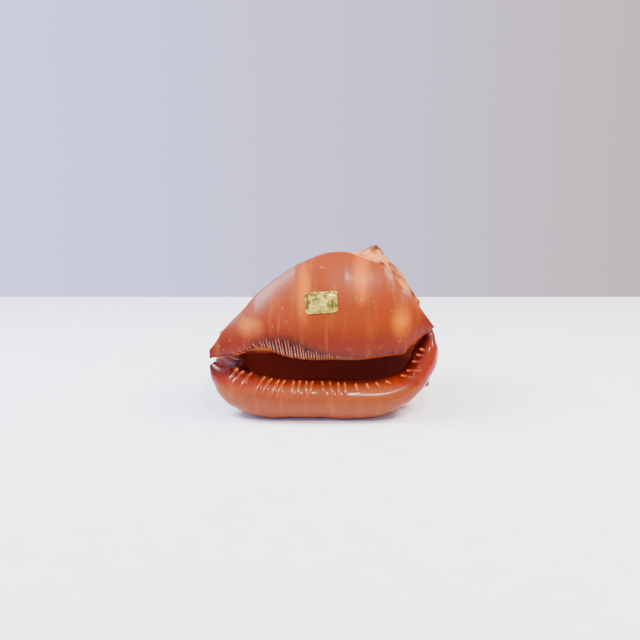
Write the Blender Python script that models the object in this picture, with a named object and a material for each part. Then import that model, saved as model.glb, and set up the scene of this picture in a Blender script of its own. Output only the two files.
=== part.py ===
"""Large helmet shell resting on its outer lip, with a carved panel on its back.

The frame is +X along the shell's length towards the spire, -Y out of the
aperture side and +Z up, with the origin below the middle of the shell.
Lengths are written in millimetres and become metres as each mesh is made.

The coiled parts are described about the coiling axis: `d` is the distance along
the axis from the spire tip, `r` the distance from the axis and `theta` the angle
in degrees, 0 towards the aperture side and 90 upwards.
"""

import math

import bmesh
import bpy
import numpy as np

MM = 0.001

# Where the drawing's coordinates sit in the part's own frame
CENTRE = np.array([0.07, 6.87, 1.0])

# Coiling axis
APEX = np.array([66.0, 6.0, 71.5])
AXIS_DIP = 13.0
AXIS_YAW = 2.0
LENGTH = 141.0

# Whorl: shoulder radius and depth against the angle
WHORL_RATIO = 2.05
LIP_ANGLE = 305.0
LIP_CLOSE = 14.0
TURN_START = LIP_ANGLE - 360.0
RADIUS_AT = (-55, 0, 45, 90, 135, 180, 225, 255, 270, 305)
RADIUS = (27.8, 27.0, 30.5, 39.0, 43.2, 45.5, 50.0, 54.6, 56.0, 57.4)
DEPTH_AT = (-415, -270, -180, -55, 0, 45, 90, 135, 180, 225, 270, 305)
DEPTH = (5, 8, 8.5, 10, 13, 18, 22, 24, 24, 21, 13.5, 4)
SPIRE_STEP = 0.10

# Body from the shoulder (0) to the canal end (1), as a part of the shoulder radius
BODY_AT = (0, 0.12, 0.25, 0.4, 0.55, 0.7, 0.83, 0.93, 1.0)
BODY_SHAPE = (1.0, 1.045, 1.05, 0.985, 0.84, 0.64, 0.43, 0.28, 0.18)
LIP_SIDE_SHAPE = (1.0, 1.03, 1.03, 1.0, 0.93, 0.83, 0.72, 0.60, 0.42)
CANAL_BEND = 14.0

# Knob rows: place along the body, count in a turn, height, phase, width
KNOBS = (
    (0.00, 11, 6.0, 0.00, 0.070),
    (0.27, 11, 4.6, 0.36, 0.060),
    (0.45, 11, 3.4, 0.12, 0.055),
    (0.62, 11, 2.0, 0.45, 0.050),
)
KNOB_SHARPNESS = 1.6

# Hollow inside the last whorl, wound about the older ones
WALL = 4.6
HOLLOW_FROM = 336.0
HOLLOW_TO = 40.0
CORE_AT = (0, 0.25, 0.5, 0.75, 1)
CORE_SHAPE = (1.02, 1.02, 0.70, 0.40, 0.22)

# Outer lip: centre line and the half sizes of its rolled section
LIP_PATH = (
    (-74.5, -18, 34.8), (-69.1, -20, 29.0), (-61.7, -23, 22.4), (-53.6, -25, 18.4),
    (-41.6, -26, 15.0), (-22.4, -27, 13.7), (4.0, -27, 13.4), (31.4, -27, 13.2),
    (48.6, -24, 17.9), (59.6, -20, 25.1), (66.7, -16, 36.3), (70.0, -13, 46.5),
    (70.5, -12, 55.0),
)
LIP_HIGH = (2.4, 7.7, 11.2, 13.2, 14.0, 13.3, 13.0, 12.4, 10.1, 9.0, 8.7, 6.4, 2.4)
LIP_DEEP = (3.0, 7.5, 10.5, 13.0, 14.5, 15.0, 15.0, 15.0, 15.0, 15.0, 13.5, 10.5, 5.0)

# Parietal shield: rim, columella edge and plate thickness along the length
RIM_Z_AT = (-76.0, -72.2, -67.4, -60.7, -53.3, -46, -33.5, -18.4, 1.3, 13.8, 22.4,
            30.3, 39.5, 45.6, 50.9, 56.9, 63.6, 68.5, 73.0)
RIM_Z = (39.6, 48.4, 57.2, 64.6, 72.0, 80.5, 90.8, 100.9, 108.6, 109.4, 106.8,
         104.1, 100.5, 94.7, 87.5, 82.3, 73.0, 66.3, 59.8)
RIM_Y_AT = (-76, -60, -46, -33, -18, 0, 14, 30, 45, 57, 65, 73)
RIM_Y = (-20, -17, -15, -13, -11, -9, -9, -11, -14, -16, -17, -17)
EDGE_AT = (-76.0, -72.8, -59.7, -50.1, -42.1, -31, -20, -8.4, 7.7, 24.5, 36.2, 47.4,
           52.5, 58.4, 65, 73.0)
EDGE_Z = (38.4, 38.9, 40.9, 44.2, 47.2, 44.7, 42, 41.3, 41.3, 41, 42, 43,
          43.6, 46.8, 52.2, 58.6)
EDGE_Y = (-20, -20.5, -25, -29, -31, -34, -36, -37, -37, -36, -34, -31,
          -28.5, -24, -19.5, -16)
PLATE_AT = (-76, -68, -55, -42, -20, 10, 40, 52, 62, 73)
PLATE_AT_EDGE = (1.6, 6, 11, 14, 13, 12, 12, 9, 6, 1.6)
PLATE_AT_RIM = (1.6, 2.4, 3.0, 3.2, 3.4, 3.6, 3.4, 3.2, 2.8, 1.6)
BULGE_AT = (-76, -60, -40, 0, 40, 60, 73)
BULGE_LOW = (0, 3, 5, 5, 4, 2.5, 0)
BULGE_TOP = (0, 4, 9, 14, 11, 5, 0)

# Canal: the thick side that joins it to the lip, and the groove through it
CANAL_SIDE = ((-56, -19, 25), (-61, -12, 26), (-64, -2, 28), (-64, 8, 32), (-63, 17, 38))
CANAL_SIDE_SIZE = (12.5, 12.0, 11.0, 9.5, 7.0)
GROOVE = ((-46, -29, 39), (-57, -24, 38), (-66, -16, 37.5), (-73, -6, 38.5), (-81, 3, 40))
GROOVE_SIZE = (4.0, 4.4, 4.4, 4.2, 4.2)

# Posterior callus that closes the shell behind the spire end of the aperture
CALLUS = ((46, -3, 50), (57, -5, 53), (65, -8, 56), (71, -11, 58))
CALLUS_SIZE = (9.0, 9.5, 7.5, 2.5)

# Teeth of the lip: place along it, lean of the outer end, angles of outer end and tip
TEETH = (
    (0.142, -0.020, 116, 180), (0.202, 0.010, 112, 178), (0.262, 0.022, 108, 178),
    (0.338, 0.026, 104, 172), (0.366, 0.024, 110, 170), (0.388, 0.016, 106, 166),
    (0.404, 0.016, 110, 168), (0.426, 0.003, 110, 168), (0.440, 0.004, 110, 170),
    (0.453, -0.002, 112, 168), (0.466, 0.008, 112, 168), (0.484, -0.006, 114, 168),
    (0.498, -0.008, 114, 168), (0.514, -0.002, 120, 166), (0.526, -0.003, 118, 165),
    (0.548, -0.003, 134, 163), (0.572, -0.004, 140, 164), (0.600, -0.004, 144, 167),
    (0.636, -0.010, 148, 166), (0.706, -0.036, 116, 162), (0.750, -0.034, 106, 160),
    (0.804, -0.014, 124, 156), (0.842, -0.006, 118, 150), (0.878, 0.002, 114, 146),
)
TOOTH_SIZE = 1.15
TOOTH_RISE = 0.35

# Ridges of the columella edge: ends, spacing, reach up the shield and lean
RIDGE_FROM = -54.0
RIDGE_TO = 51.0
RIDGE_STEP_AT = (-54, -20, 20, 54)
RIDGE_STEP = (3.0, 2.9, 2.6, 2.8)
RIDGE_REACH_AT = (-54, -46, -36, -22, -12, 0, 20, 45, 54)
RIDGE_REACH = (7, 10, 14, 19, 16, 11, 10, 9, 7)
RIDGE_LEAN_AT = (-54, -42, -30, -15, 20, 45, 54)
RIDGE_LEAN = (-6.5, -5.5, -4.0, -2, 0, 1.5, 3.0)
RIDGE_SIZE = 0.62

# Carved panel on the back: middle, half sizes, depth and its low relief
PANEL_THETA = 168.0
PANEL_D = 66.0
PANEL_ALONG = 29.0
PANEL_ROUND = 25.0
PANEL_SUNK = 1.3
PANEL_RADIUS = 46.0
FRAME_WIDE = 1.3
FRAME_HIGH = 0.7
FLOWER_SIZE = 10.5
FLOWER_HIGH = 2.4
LEAVES = ((25, 18.9, 7.4, 3.6), (155, 18.9, 7.4, 3.6), (-27, 18.9, 7.4, 3.5),
          (207, 18.9, 7.4, 3.5), (88, 17.2, 5.6, 3.2), (271, 17.2, 5.6, 3.2))
LEAF_HIGH = 1.5

# Blank foil sticker on the shield: middle, size, tilt, thickness and gap
LABEL_X = -1.8
LABEL_Z = 79.4
LABEL_WIDE = 20.6
LABEL_HIGH = 12.6
LABEL_TILT = 4.7
LABEL_THICK = 0.3
LABEL_GAP = 0.4

# Part of the facets kept once everything is joined
KEEP_FACETS = 0.66

SHELL_COLOUR = (0.72, 0.30, 0.12, 1.0)
FOIL_COLOUR = (0.60, 0.48, 0.20, 1.0)


def spline(at, knots, values):
    """Natural cubic through the values, held level outside the knots."""
    x = np.asarray(knots, float)
    y = np.asarray(values, float)
    n = len(x)
    h = np.diff(x)
    system = np.eye(n)
    right = np.zeros(y.shape)
    for i in range(1, n - 1):
        system[i, i - 1] = h[i - 1]
        system[i, i] = 2 * (h[i - 1] + h[i])
        system[i, i + 1] = h[i]
        right[i] = 6 * ((y[i + 1] - y[i]) / h[i] - (y[i] - y[i - 1]) / h[i - 1])
    m = np.linalg.solve(system, right)
    at = np.clip(np.asarray(at, float), x[0], x[-1])
    k = np.clip(np.searchsorted(x, at, side="right") - 1, 0, n - 2)
    t = at - x[k]
    step = h[k]
    if y.ndim > 1:
        t = t[..., None]
        step = step[..., None]
    slope = (y[k + 1] - y[k]) / step - step * (2 * m[k] + m[k + 1]) / 6
    return y[k] + t * slope + t ** 2 * m[k] / 2 + t ** 3 * (m[k + 1] - m[k]) / (6 * step)


def ease(x, low, high):
    """0 below low, 1 above high, smooth between."""
    t = np.clip((np.asarray(x, float) - low) / (high - low), 0, 1)
    return t * t * (3 - 2 * t)


def unit(vector):
    return vector / np.linalg.norm(vector)


def axis_frame():
    """Unit vectors along the axis to the canal, towards the aperture side and up."""
    dip = math.radians(AXIS_DIP)
    yaw = math.radians(AXIS_YAW)
    along = unit(np.array([-math.cos(dip) * math.cos(yaw), -math.sin(yaw), -math.sin(dip)]))
    up = unit(np.array([0, 0, 1.0]) - along * along[2])
    front = np.cross(up, along)
    return along, -front if front[1] > 0 else front, up


ALONG, FRONT, UP = axis_frame()


def in_turn(theta):
    """Angle brought into the last turn."""
    return (np.asarray(theta, float) - TURN_START) % 360 + TURN_START


def shoulder_radius(theta):
    """Radius of the growing whorl's shoulder, for any angle back to the tip."""
    theta = np.asarray(theta, float)
    turns = np.floor((theta - TURN_START) / 360)
    return spline(theta - 360 * turns, RADIUS_AT, RADIUS) * WHORL_RATIO ** turns


def shoulder_depth(theta):
    return spline(theta, DEPTH_AT, DEPTH)


def spire_depth(r, theta):
    """Depth of the stepped spire at that radius."""
    t = in_turn(theta)
    inner_r = float(shoulder_radius(t - 360))
    inner_d = float(shoulder_depth(t - 360))
    q = np.log(inner_r / np.maximum(r, 0.05)) / math.log(WHORL_RATIO)
    q = q - np.floor(q)
    step = np.where(q < 0.88, -1 + 2 * q / 0.88, 1 - 2 * (q - 0.88) / 0.12)
    return inner_d * (r / inner_r) ** 0.85 * (1 + SPIRE_STEP * step)


def flank_shape(t, u):
    """Radius along the body; towards the lip the canal side stays wide."""
    wide = ease(t, 215, 300)
    return (spline(u, BODY_AT, BODY_SHAPE) * (1 - wide)
            + spline(u, BODY_AT, LIP_SIDE_SHAPE) * wide)


def flank_radius(theta, d):
    """Radius of the smooth body at a depth, without the drop at the lip."""
    t = np.minimum(theta, LIP_ANGLE)
    depth = shoulder_depth(t)
    u = np.clip((d - depth) / (LENGTH - depth), 0, 1)
    return shoulder_radius(t) * flank_shape(t, u)


def knob_strength(theta, d, row):
    """Knobs are full on the back, and absent under the shield and the panel."""
    fade = ease(theta, 55, 95)
    fade = fade * (1 - ease(theta, 235, 250) if row == 0 else 1 - ease(theta, 280, 298))
    a = (d - PANEL_D) / PANEL_ALONG
    b = math.radians(theta - PANEL_THETA) * PANEL_RADIUS / PANEL_ROUND
    return fade * ease(np.hypot(a, b), 1.08, 1.32)


def body_profile(theta, spire=5, ramp=3, flank=19):
    """Distances d, r and place u along the outer surface at that angle."""
    t = float(in_turn(theta))
    drop = float(ease(t, LIP_ANGLE - LIP_CLOSE, LIP_ANGLE))
    rs = float(shoulder_radius(t)) * (1 - drop) + float(shoulder_radius(t - 360)) * drop
    ds = float(shoulder_depth(t)) * (1 - drop) + float(shoulder_depth(t - 360)) * drop
    ru = float(shoulder_radius(t - 360)) * ((1 - drop) + drop / WHORL_RATIO)
    du = float(spire_depth(np.array(ru), t))
    ra = np.linspace(0, ru, spire, endpoint=False)
    da = spire_depth(ra, t)
    s = np.linspace(0, 1, ramp, endpoint=False)
    rb = ru + (rs - ru) * s
    db = du + (ds - du) * s ** 1.3
    u = np.linspace(0, 1, flank)
    dc = ds + u * (LENGTH - ds)
    rc = rs * flank_shape(t, u)
    for row, (place_u, count, high, phase, wide) in enumerate(KNOBS):
        wave = 0.5 + 0.5 * math.cos(math.radians(t * count) + phase * 2 * math.pi)
        tall = high * rs / 50 * wave ** KNOB_SHARPNESS
        strength = tall * knob_strength(t, dc, row)
        rc = rc + strength * np.exp(-((u - place_u) / wide) ** 2)
        if row == 0:
            edge = float(strength[0])
            near = np.exp(-((1 - s) * 0.25 / wide) ** 2)
            rb = rb + edge * near
            db = db - 0.45 * edge * near
            dc = dc - 0.45 * edge * np.exp(-(u / wide) ** 2)
    d = np.concatenate([da, db, dc])
    r = np.concatenate([ra, rb, rc])
    u = np.concatenate([np.zeros(spire + ramp), u])
    return d, r, u


def place(d, r, theta, u=0.0):
    """Point of the drawing for axis coordinates; the canal end bends back."""
    a = np.radians(theta)
    point = (APEX + np.multiply.outer(d, ALONG)
             + np.multiply.outer(r * np.cos(a), FRONT)
             + np.multiply.outer(r * np.sin(a), UP))
    point[..., 1] += CANAL_BEND * np.clip((np.asarray(u) - 0.75) / 0.25, 0, None) ** 2
    return point


def body_rings(steps=56):
    """Outer surface of the coil, one ring for each place along the profile."""
    lines = []
    for theta in np.linspace(TURN_START, LIP_ANGLE, steps, endpoint=False):
        d, r, u = body_profile(theta)
        lines.append(place(d, r, theta, u))
    return np.transpose(np.array(lines), (1, 0, 2))


def hollow_ring(theta, count=9):
    """Closed outline of the hollow at one angle, between the core and the wall."""
    t = min(theta, LIP_ANGLE)
    depth = float(shoulder_depth(t))
    core = float(shoulder_radius(theta - 360))
    first = max(depth, float(spire_depth(np.array(core), t))) + WALL
    last = LENGTH - 6.0
    v = 0.5 - 0.5 * np.cos(np.linspace(0, math.pi, count))
    d = first + v * (last - first)
    inner = core * spline(v, CORE_AT, CORE_SHAPE) + 0.8
    outer = flank_radius(t, d) - WALL
    cap = (1 - (1 - np.clip(v / 0.10, 0, 1)) ** 2.4) ** (1 / 2.4)
    tail = np.clip((1 - v) / 0.25, 0, 1) ** 0.6
    outer = inner + np.maximum(outer - inner, 0.6) * cap * tail
    d = np.concatenate([d, d[::-1][1:-1]])
    r = np.concatenate([outer, inner[::-1][1:-1]])
    u = np.clip((d - depth) / (LENGTH - depth), 0, 1)
    return place(d, r, theta, u)


def lip_point(s, phi, grow=0.0):
    """Point on the rolled lip; phi 0 is outward, 90 front, 180 into the aperture."""
    knots = np.linspace(0, 1, len(LIP_PATH))
    centre = spline(s, knots, LIP_PATH)
    ahead = spline(min(s + 1e-3, 1), knots, LIP_PATH)
    behind = spline(max(s - 1e-3, 0), knots, LIP_PATH)
    tangent = unit(ahead - behind)
    front = unit(np.array([0, -1.0, 0]) + tangent * tangent[1])
    outward = np.cross(tangent, front)
    high = float(spline(s, knots, LIP_HIGH)) + grow
    deep = float(spline(s, knots, LIP_DEEP)) + grow
    a = np.radians(phi)
    return (centre + np.multiply.outer(high * np.cos(a), outward)
            + np.multiply.outer(deep * np.sin(a), front))


def shield_front(x, t):
    """Front of the shield in the y-z plane, t 0 at the columella edge, 1 at the rim."""
    y0 = float(spline(x, EDGE_AT, EDGE_Y))
    z0 = float(spline(x, EDGE_AT, EDGE_Z))
    y3 = float(spline(x, RIM_Y_AT, RIM_Y))
    z3 = float(np.interp(x, RIM_Z_AT, RIM_Z) + spline(x, RIM_Z_AT, RIM_Z)) / 2
    y1 = y0 - float(spline(x, BULGE_AT, BULGE_LOW))
    z1 = z0 + (z3 - z0) * 0.36
    y2 = y3 - float(spline(x, BULGE_AT, BULGE_TOP))
    z2 = z3 - (z3 - z0) * 0.18
    a = (1 - t) ** 3
    b = 3 * t * (1 - t) ** 2
    c = 3 * t ** 2 * (1 - t)
    e = t ** 3
    return a * y0 + b * y1 + c * y2 + e * y3, a * z0 + b * z1 + c * z2 + e * z3


def shield_sides(x, count=11):
    """Front and back lines of the plate's section at one x, edge to rim."""
    t = 0.5 - 0.5 * np.cos(np.linspace(0, math.pi, count))
    t = 0.5 * t + 0.5 * np.linspace(0, 1, count)
    y, z = shield_front(x, t)
    size = np.hypot(np.gradient(y, t), np.gradient(z, t))
    normal = np.stack([np.zeros(count), np.gradient(z, t) / size, -np.gradient(y, t) / size], -1)
    run = np.concatenate([[0], np.cumsum(np.hypot(np.diff(y), np.diff(z)))])
    taper = np.interp(run / run[-1], (0, 0.35, 0.75, 1), (1, 0.62, 0.08, 0))
    at_edge = float(spline(x, PLATE_AT, PLATE_AT_EDGE))
    at_rim = float(spline(x, PLATE_AT, PLATE_AT_RIM))
    half = np.minimum(at_rim + (at_edge - at_rim) * taper, run[-1]) / 2
    round_edge = np.sqrt(1 - (1 - np.clip(run / half, 0, 1)) ** 2)
    round_rim = np.sqrt(1 - (1 - np.clip((run[-1] - run) / half, 0, 1)) ** 2)
    offset = normal * (half * round_edge * round_rim)[:, None]
    middle = np.stack([np.full(count, float(x)), y, z], -1) + normal * half[:, None]
    return middle - offset, middle + offset


def shield_ring(x):
    front, back = shield_sides(x)
    return np.concatenate([front, back[::-1][1:-1]])


def shield_skin(x, run):
    """Point of the plate's skin a distance from its edge, negative behind it."""
    front, back = shield_sides(x, 40)
    line = front if run >= 0 else back
    length = np.concatenate([[0], np.cumsum(np.linalg.norm(np.diff(line, axis=0), axis=1))])
    return np.array([np.interp(abs(run), length, line[:, i]) for i in range(3)])


def label_point(across, up, lift):
    """Point above the shield for the sticker's own coordinates."""
    tilt = math.radians(LABEL_TILT)
    x = LABEL_X + across * math.cos(tilt) - up * math.sin(tilt)
    z = LABEL_Z + across * math.sin(tilt) + up * math.cos(tilt)
    t = np.linspace(0, 1, 200)
    line_y, line_z = shield_front(x, t)
    k = float(np.interp(z, line_z, t))
    y0, z0 = shield_front(x, k)
    y1, z1 = shield_front(x, k + 1e-3)
    size = math.hypot(y1 - y0, z1 - z0)
    return np.array([x, y0 - lift * (z1 - z0) / size, z0 + lift * (y1 - y0) / size])


def panel_point(a, b, lift):
    """Point over the carved panel: a along the axis, b upwards, lift off the body."""
    theta = PANEL_THETA - np.degrees(b / PANEL_RADIUS)
    d = PANEL_D + a
    return place(d, flank_radius(theta, d) + lift, theta)


def tube_rings(path, sizes, rings, count):
    """Round rings along a smooth path."""
    knots = np.linspace(0, 1, len(path))
    out = []
    for s in np.linspace(0, 1, rings):
        centre = spline(s, knots, path)
        tangent = unit(spline(min(s + 1e-3, 1), knots, path)
                       - spline(max(s - 1e-3, 0), knots, path))
        side = unit(np.cross(tangent, (0, 0, 1.0)))
        rise = np.cross(side, tangent)
        size = float(spline(s, knots, sizes))
        a = np.linspace(0, 2 * math.pi, count, endpoint=False)
        out.append(centre + np.multiply.outer(size * np.cos(a), side)
                   + np.multiply.outer(size * np.sin(a), rise))
    return out


def bar_rings(path, sizes, count, across):
    """Small rings along a short line of points, each with its own size."""
    path = np.asarray(path, float)
    tangent = np.gradient(path, axis=0)
    out = []
    for centre, direction, size in zip(path, tangent, sizes):
        rise = unit(np.cross(direction, across))
        side = unit(np.cross(rise, direction))
        a = np.linspace(0, 2 * math.pi, count, endpoint=False)
        out.append(centre + np.multiply.outer(size * np.cos(a), side)
                   + np.multiply.outer(size * np.sin(a), rise))
    return out


def tooth_rings(tip, lean, phi_root, phi_tip):
    """One tooth lying across the lip's inner slope, thickest near its tip."""
    path = [lip_point(tip - lean * (1 - k), phi_root + (phi_tip - phi_root) * k, TOOTH_RISE)
            for k in (0, 0.35, 0.8, 1.0)]
    along_lip = lip_point(tip + 0.01, phi_tip) - lip_point(tip - 0.01, phi_tip)
    return bar_rings(path, TOOTH_SIZE * np.array([0.4, 0.9, 1.0, 0.6]), 4, along_lip)


def ridge_places():
    x = RIDGE_FROM
    while x < RIDGE_TO:
        yield x
        x += float(spline(x, RIDGE_STEP_AT, RIDGE_STEP))


def ridge_rings(x):
    """One ridge from behind the columella edge up the front of the shield."""
    reach = float(spline(x, RIDGE_REACH_AT, RIDGE_REACH))
    lean = float(spline(x, RIDGE_LEAN_AT, RIDGE_LEAN))
    path = [shield_skin(x + lean * max(k, 0), reach * k) for k in (-0.12, 0.2, 0.6, 1.0)]
    return bar_rings(path, RIDGE_SIZE * np.array([0.7, 1.0, 0.9, 0.35]), 4, (1.0, 0, 0))


def panel_rings():
    """Solid that sinks the oval panel's ground below the body."""
    a = np.linspace(0, 2 * math.pi, 26, endpoint=False)
    steps = [(k, -PANEL_SUNK) for k in (0.05, 0.4, 0.7, 1.0)]
    steps += [(k, 9.0) for k in (1.03, 0.6, 0.05)]
    return [panel_point(k * PANEL_ALONG * np.cos(a), k * PANEL_ROUND * np.sin(a), lift)
            for k, lift in steps]


def frame_rings():
    """Rounded moulding round the panel, a closed loop."""
    out = []
    for a in np.linspace(0.04, 2 * math.pi + 0.04, 28, endpoint=False):
        b = np.linspace(0, 2 * math.pi, 5, endpoint=False)
        along = (PANEL_ALONG + FRAME_WIDE + 0.4) + FRAME_WIDE * np.cos(b)
        rounds = (PANEL_ROUND + FRAME_WIDE + 0.4) + FRAME_WIDE * np.cos(b)
        out.append(panel_point(along * math.cos(a), rounds * math.sin(a), FRAME_HIGH * np.sin(b)))
    return out


def flower_rings():
    """Open blossom in three tiers of petals."""
    a = np.linspace(0, 2 * math.pi, 25, endpoint=False)
    tiers = (
        (1.00, -0.5, 5, 0.0, 0.13), (0.98, 1.1, 5, 0.0, 0.13), (0.66, 0.8, 5, 0.0, 0.05),
        (0.60, 1.9, 5, 0.5, 0.10), (0.34, 1.5, 5, 0.5, 0.04), (0.26, 2.4, 5, 0.0, 0.0),
    )
    out = []
    for size, lift, lobes, turn, depth in tiers:
        lobe = 1 - depth + depth * np.abs(np.cos((a * lobes + turn * math.pi) / 2)) ** 0.7 * 2
        radius = FLOWER_SIZE * size * lobe
        high = lift * FLOWER_HIGH / 2.4 - PANEL_SUNK
        out.append(panel_point(radius * np.cos(a), radius * np.sin(a), high))
    return out


def leaf_rings(angle, distance, length, width):
    """One pointed leaf, swollen along its middle."""
    turn = math.radians(angle)
    a = np.linspace(0, 2 * math.pi, 10, endpoint=False)
    out = []
    for size, lift in ((1.0, -0.7), (1.0, 0.35), (0.45, 1.0)):
        along = distance + length * size * np.cos(a)
        across = width * size * np.sin(a) * np.abs(np.sin(a)) ** 0.35
        x = along * math.cos(turn) - across * math.sin(turn)
        y = along * math.sin(turn) + across * math.cos(turn)
        high = (lift * LEAF_HIGH if lift > 0 else lift) - PANEL_SUNK
        out.append(panel_point(x, y, high))
    return out


def add_mesh(name, loops, collection, cap="fan"):
    """Closed triangulated mesh from one or more stacks of rings."""
    bm = bmesh.new()
    for rings in loops:
        verts = [[bm.verts.new(tuple((p - CENTRE) * MM)) for p in ring] for ring in rings]
        n = len(verts)
        m = len(verts[0])
        for i in range(n if cap == "loop" else n - 1):
            near = verts[i]
            far = verts[(i + 1) % n]
            for j in range(m):
                k = (j + 1) % m
                bm.faces.new((near[j], far[j], far[k], near[k]))
        for ring in (verts[0], verts[-1]) if cap != "loop" else ():
            if cap == "strip":
                for j in range(m // 2):
                    corners = (ring[j], ring[j + 1], ring[m - j - 1], ring[-j])
                    bm.faces.new(tuple(dict.fromkeys(corners)))
            else:
                middle = bm.verts.new(sum((v.co for v in ring), ring[0].co * 0) / m)
                for j in range(m):
                    bm.faces.new((ring[j], ring[(j + 1) % m], middle))
    bmesh.ops.remove_doubles(bm, verts=bm.verts, dist=1e-6)
    bmesh.ops.triangulate(bm, faces=bm.faces)
    bmesh.ops.recalc_face_normals(bm, faces=bm.faces)
    mesh = bpy.data.meshes.new(name)
    bm.to_mesh(mesh)
    bm.free()
    ob = bpy.data.objects.new(name, mesh)
    collection.objects.link(ob)
    return ob


def shape(target, tool, kind):
    """Join a tool to the target or cut it away, and hide the tool."""
    modifier = target.modifiers.new(tool.name, "BOOLEAN")
    modifier.operation = kind
    modifier.object = tool
    modifier.solver = "EXACT"
    tool.hide_render = True
    tool.display_type = "WIRE"


def material(name, colour, roughness, metallic):
    mat = bpy.data.materials.new(name)
    mat.use_nodes = True
    node = mat.node_tree.nodes["Principled BSDF"]
    node.inputs["Base Color"].default_value = colour
    node.inputs["Roughness"].default_value = roughness
    node.inputs["Metallic"].default_value = metallic
    return mat


# MAIN
def build():
    for ob in list(bpy.data.objects):
        bpy.data.objects.remove(ob)
    parts = bpy.data.collections.new("carved_shell")
    tools = bpy.data.collections.new("shaping_tools")
    bpy.context.scene.collection.children.link(parts)
    bpy.context.scene.collection.children.link(tools)

    shell = add_mesh("shell", [body_rings()], parts)
    turns = np.linspace(HOLLOW_FROM, HOLLOW_TO, 26)
    hollow = add_mesh("hollow", [[hollow_ring(t) for t in turns]], tools, "strip")
    side = add_mesh("canal_side", [tube_rings(CANAL_SIDE, CANAL_SIDE_SIZE, 8, 12)], tools)
    callus = add_mesh("callus", [tube_rings(CALLUS, CALLUS_SIZE, 6, 12)], tools)
    groove = add_mesh("groove", [tube_rings(GROOVE, GROOVE_SIZE, 9, 12)], tools)
    places = np.concatenate([np.linspace(-76, -66, 5), np.linspace(-62, 60, 25),
                             np.linspace(63, 73, 5)])
    shield = add_mesh("shield", [[shield_ring(x) for x in places]], tools)
    s = 0.5 - 0.5 * np.cos(np.linspace(0.06, math.pi - 0.06, 28))
    phi = np.linspace(0, 360, 14, endpoint=False)
    lip = add_mesh("lip", [[lip_point(k, phi) for k in s]], tools)
    teeth = add_mesh("teeth", [tooth_rings(*tooth) for tooth in TEETH], tools)
    ridges = add_mesh("ridges", [ridge_rings(x) for x in ridge_places()], tools)
    panel = add_mesh("panel", [panel_rings()], tools)
    frame = add_mesh("panel_frame", [frame_rings()], tools, "loop")
    flower = add_mesh("flower", [flower_rings()], tools)
    leaves = add_mesh("leaves", [leaf_rings(*leaf) for leaf in LEAVES], tools)
    square = np.array([(-200, -200), (200, -200), (200, 200), (-200, 200)], float)
    ground = add_mesh("ground", [[np.column_stack([square, np.full(4, z)])
                                  for z in (-60.0, CENTRE[2])]], tools)
    shape(shell, side, "UNION")
    shape(shell, callus, "UNION")
    shape(shell, hollow, "DIFFERENCE")
    shape(shell, shield, "UNION")
    shape(shell, lip, "UNION")
    shape(shell, groove, "DIFFERENCE")
    shape(shell, teeth, "UNION")
    shape(shell, ridges, "UNION")
    shape(shell, panel, "DIFFERENCE")
    shape(shell, frame, "UNION")
    shape(shell, flower, "UNION")
    shape(shell, leaves, "UNION")
    thin = shell.modifiers.new("fewer_facets", "DECIMATE")
    thin.ratio = KEEP_FACETS
    shape(shell, ground, "DIFFERENCE")
    shell.data.materials.append(material("shell_calcite", SHELL_COLOUR, 0.25, 0.0))

    across = np.linspace(-0.5, 0.5, 6) * LABEL_WIDE
    lifts = (LABEL_GAP, LABEL_GAP + LABEL_THICK)
    label_rings = []
    for a in across:
        ups = np.linspace(-0.5, 0.5, 4) * LABEL_HIGH
        low = [label_point(a, b, lifts[0]) for b in ups]
        high = [label_point(a, b, lifts[1]) for b in ups[::-1]]
        label_rings.append(low + high)
    label = add_mesh("foil_label", [label_rings], parts, "strip")
    label.data.materials.append(material("gold_foil", FOIL_COLOUR, 0.3, 1.0))


build()
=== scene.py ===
"""Looks of the carved helmet shell: its glossy shield and lip, fine ridges and
teeth, mottled back with its cut panel, blank foil sticker, floor and light.

The shapes are drawn in millimetres, as in the CAD part. The shell's pieces
become fields of distances that are joined with rounded corners, and the result
is turned back into one surface.
"""

import math

import bmesh
import bpy
import numpy as np
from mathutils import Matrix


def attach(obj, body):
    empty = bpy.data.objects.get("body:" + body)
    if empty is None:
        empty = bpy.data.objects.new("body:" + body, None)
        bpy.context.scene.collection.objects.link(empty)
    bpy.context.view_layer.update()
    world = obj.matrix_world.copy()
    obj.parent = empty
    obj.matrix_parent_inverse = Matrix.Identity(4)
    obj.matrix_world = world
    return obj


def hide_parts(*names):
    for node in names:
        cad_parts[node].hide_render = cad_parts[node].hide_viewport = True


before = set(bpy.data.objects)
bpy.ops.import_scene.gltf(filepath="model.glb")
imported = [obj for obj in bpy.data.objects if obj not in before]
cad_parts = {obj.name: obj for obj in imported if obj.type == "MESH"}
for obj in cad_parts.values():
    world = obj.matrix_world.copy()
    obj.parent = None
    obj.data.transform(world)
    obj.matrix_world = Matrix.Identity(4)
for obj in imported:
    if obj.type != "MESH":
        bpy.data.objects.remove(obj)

import openvdb
from mathutils import Matrix

MM = 0.001

# Where the drawing's coordinates sit in the part's own frame
CENTRE = np.array([0.07, 6.87, 1.0])

# Coiling axis
APEX = np.array([66.0, 6.0, 71.5])
AXIS_DIP = 13.0
AXIS_YAW = 2.0
LENGTH = 141.0

# Whorl: shoulder radius and depth against the angle
WHORL_RATIO = 2.05
LIP_ANGLE = 305.0
LIP_CLOSE = 14.0
TURN_START = LIP_ANGLE - 360.0
RADIUS_AT = (-55, 0, 45, 90, 135, 180, 225, 255, 270, 305)
RADIUS = (27.8, 27.0, 30.5, 39.0, 43.2, 45.5, 50.0, 54.6, 56.0, 57.4)
DEPTH_AT = (-415, -270, -180, -55, 0, 45, 90, 135, 180, 225, 270, 305)
DEPTH = (5, 8, 8.5, 10, 13, 18, 22, 24, 24, 21, 13.5, 4)
SPIRE_STEP = 0.10

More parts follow.
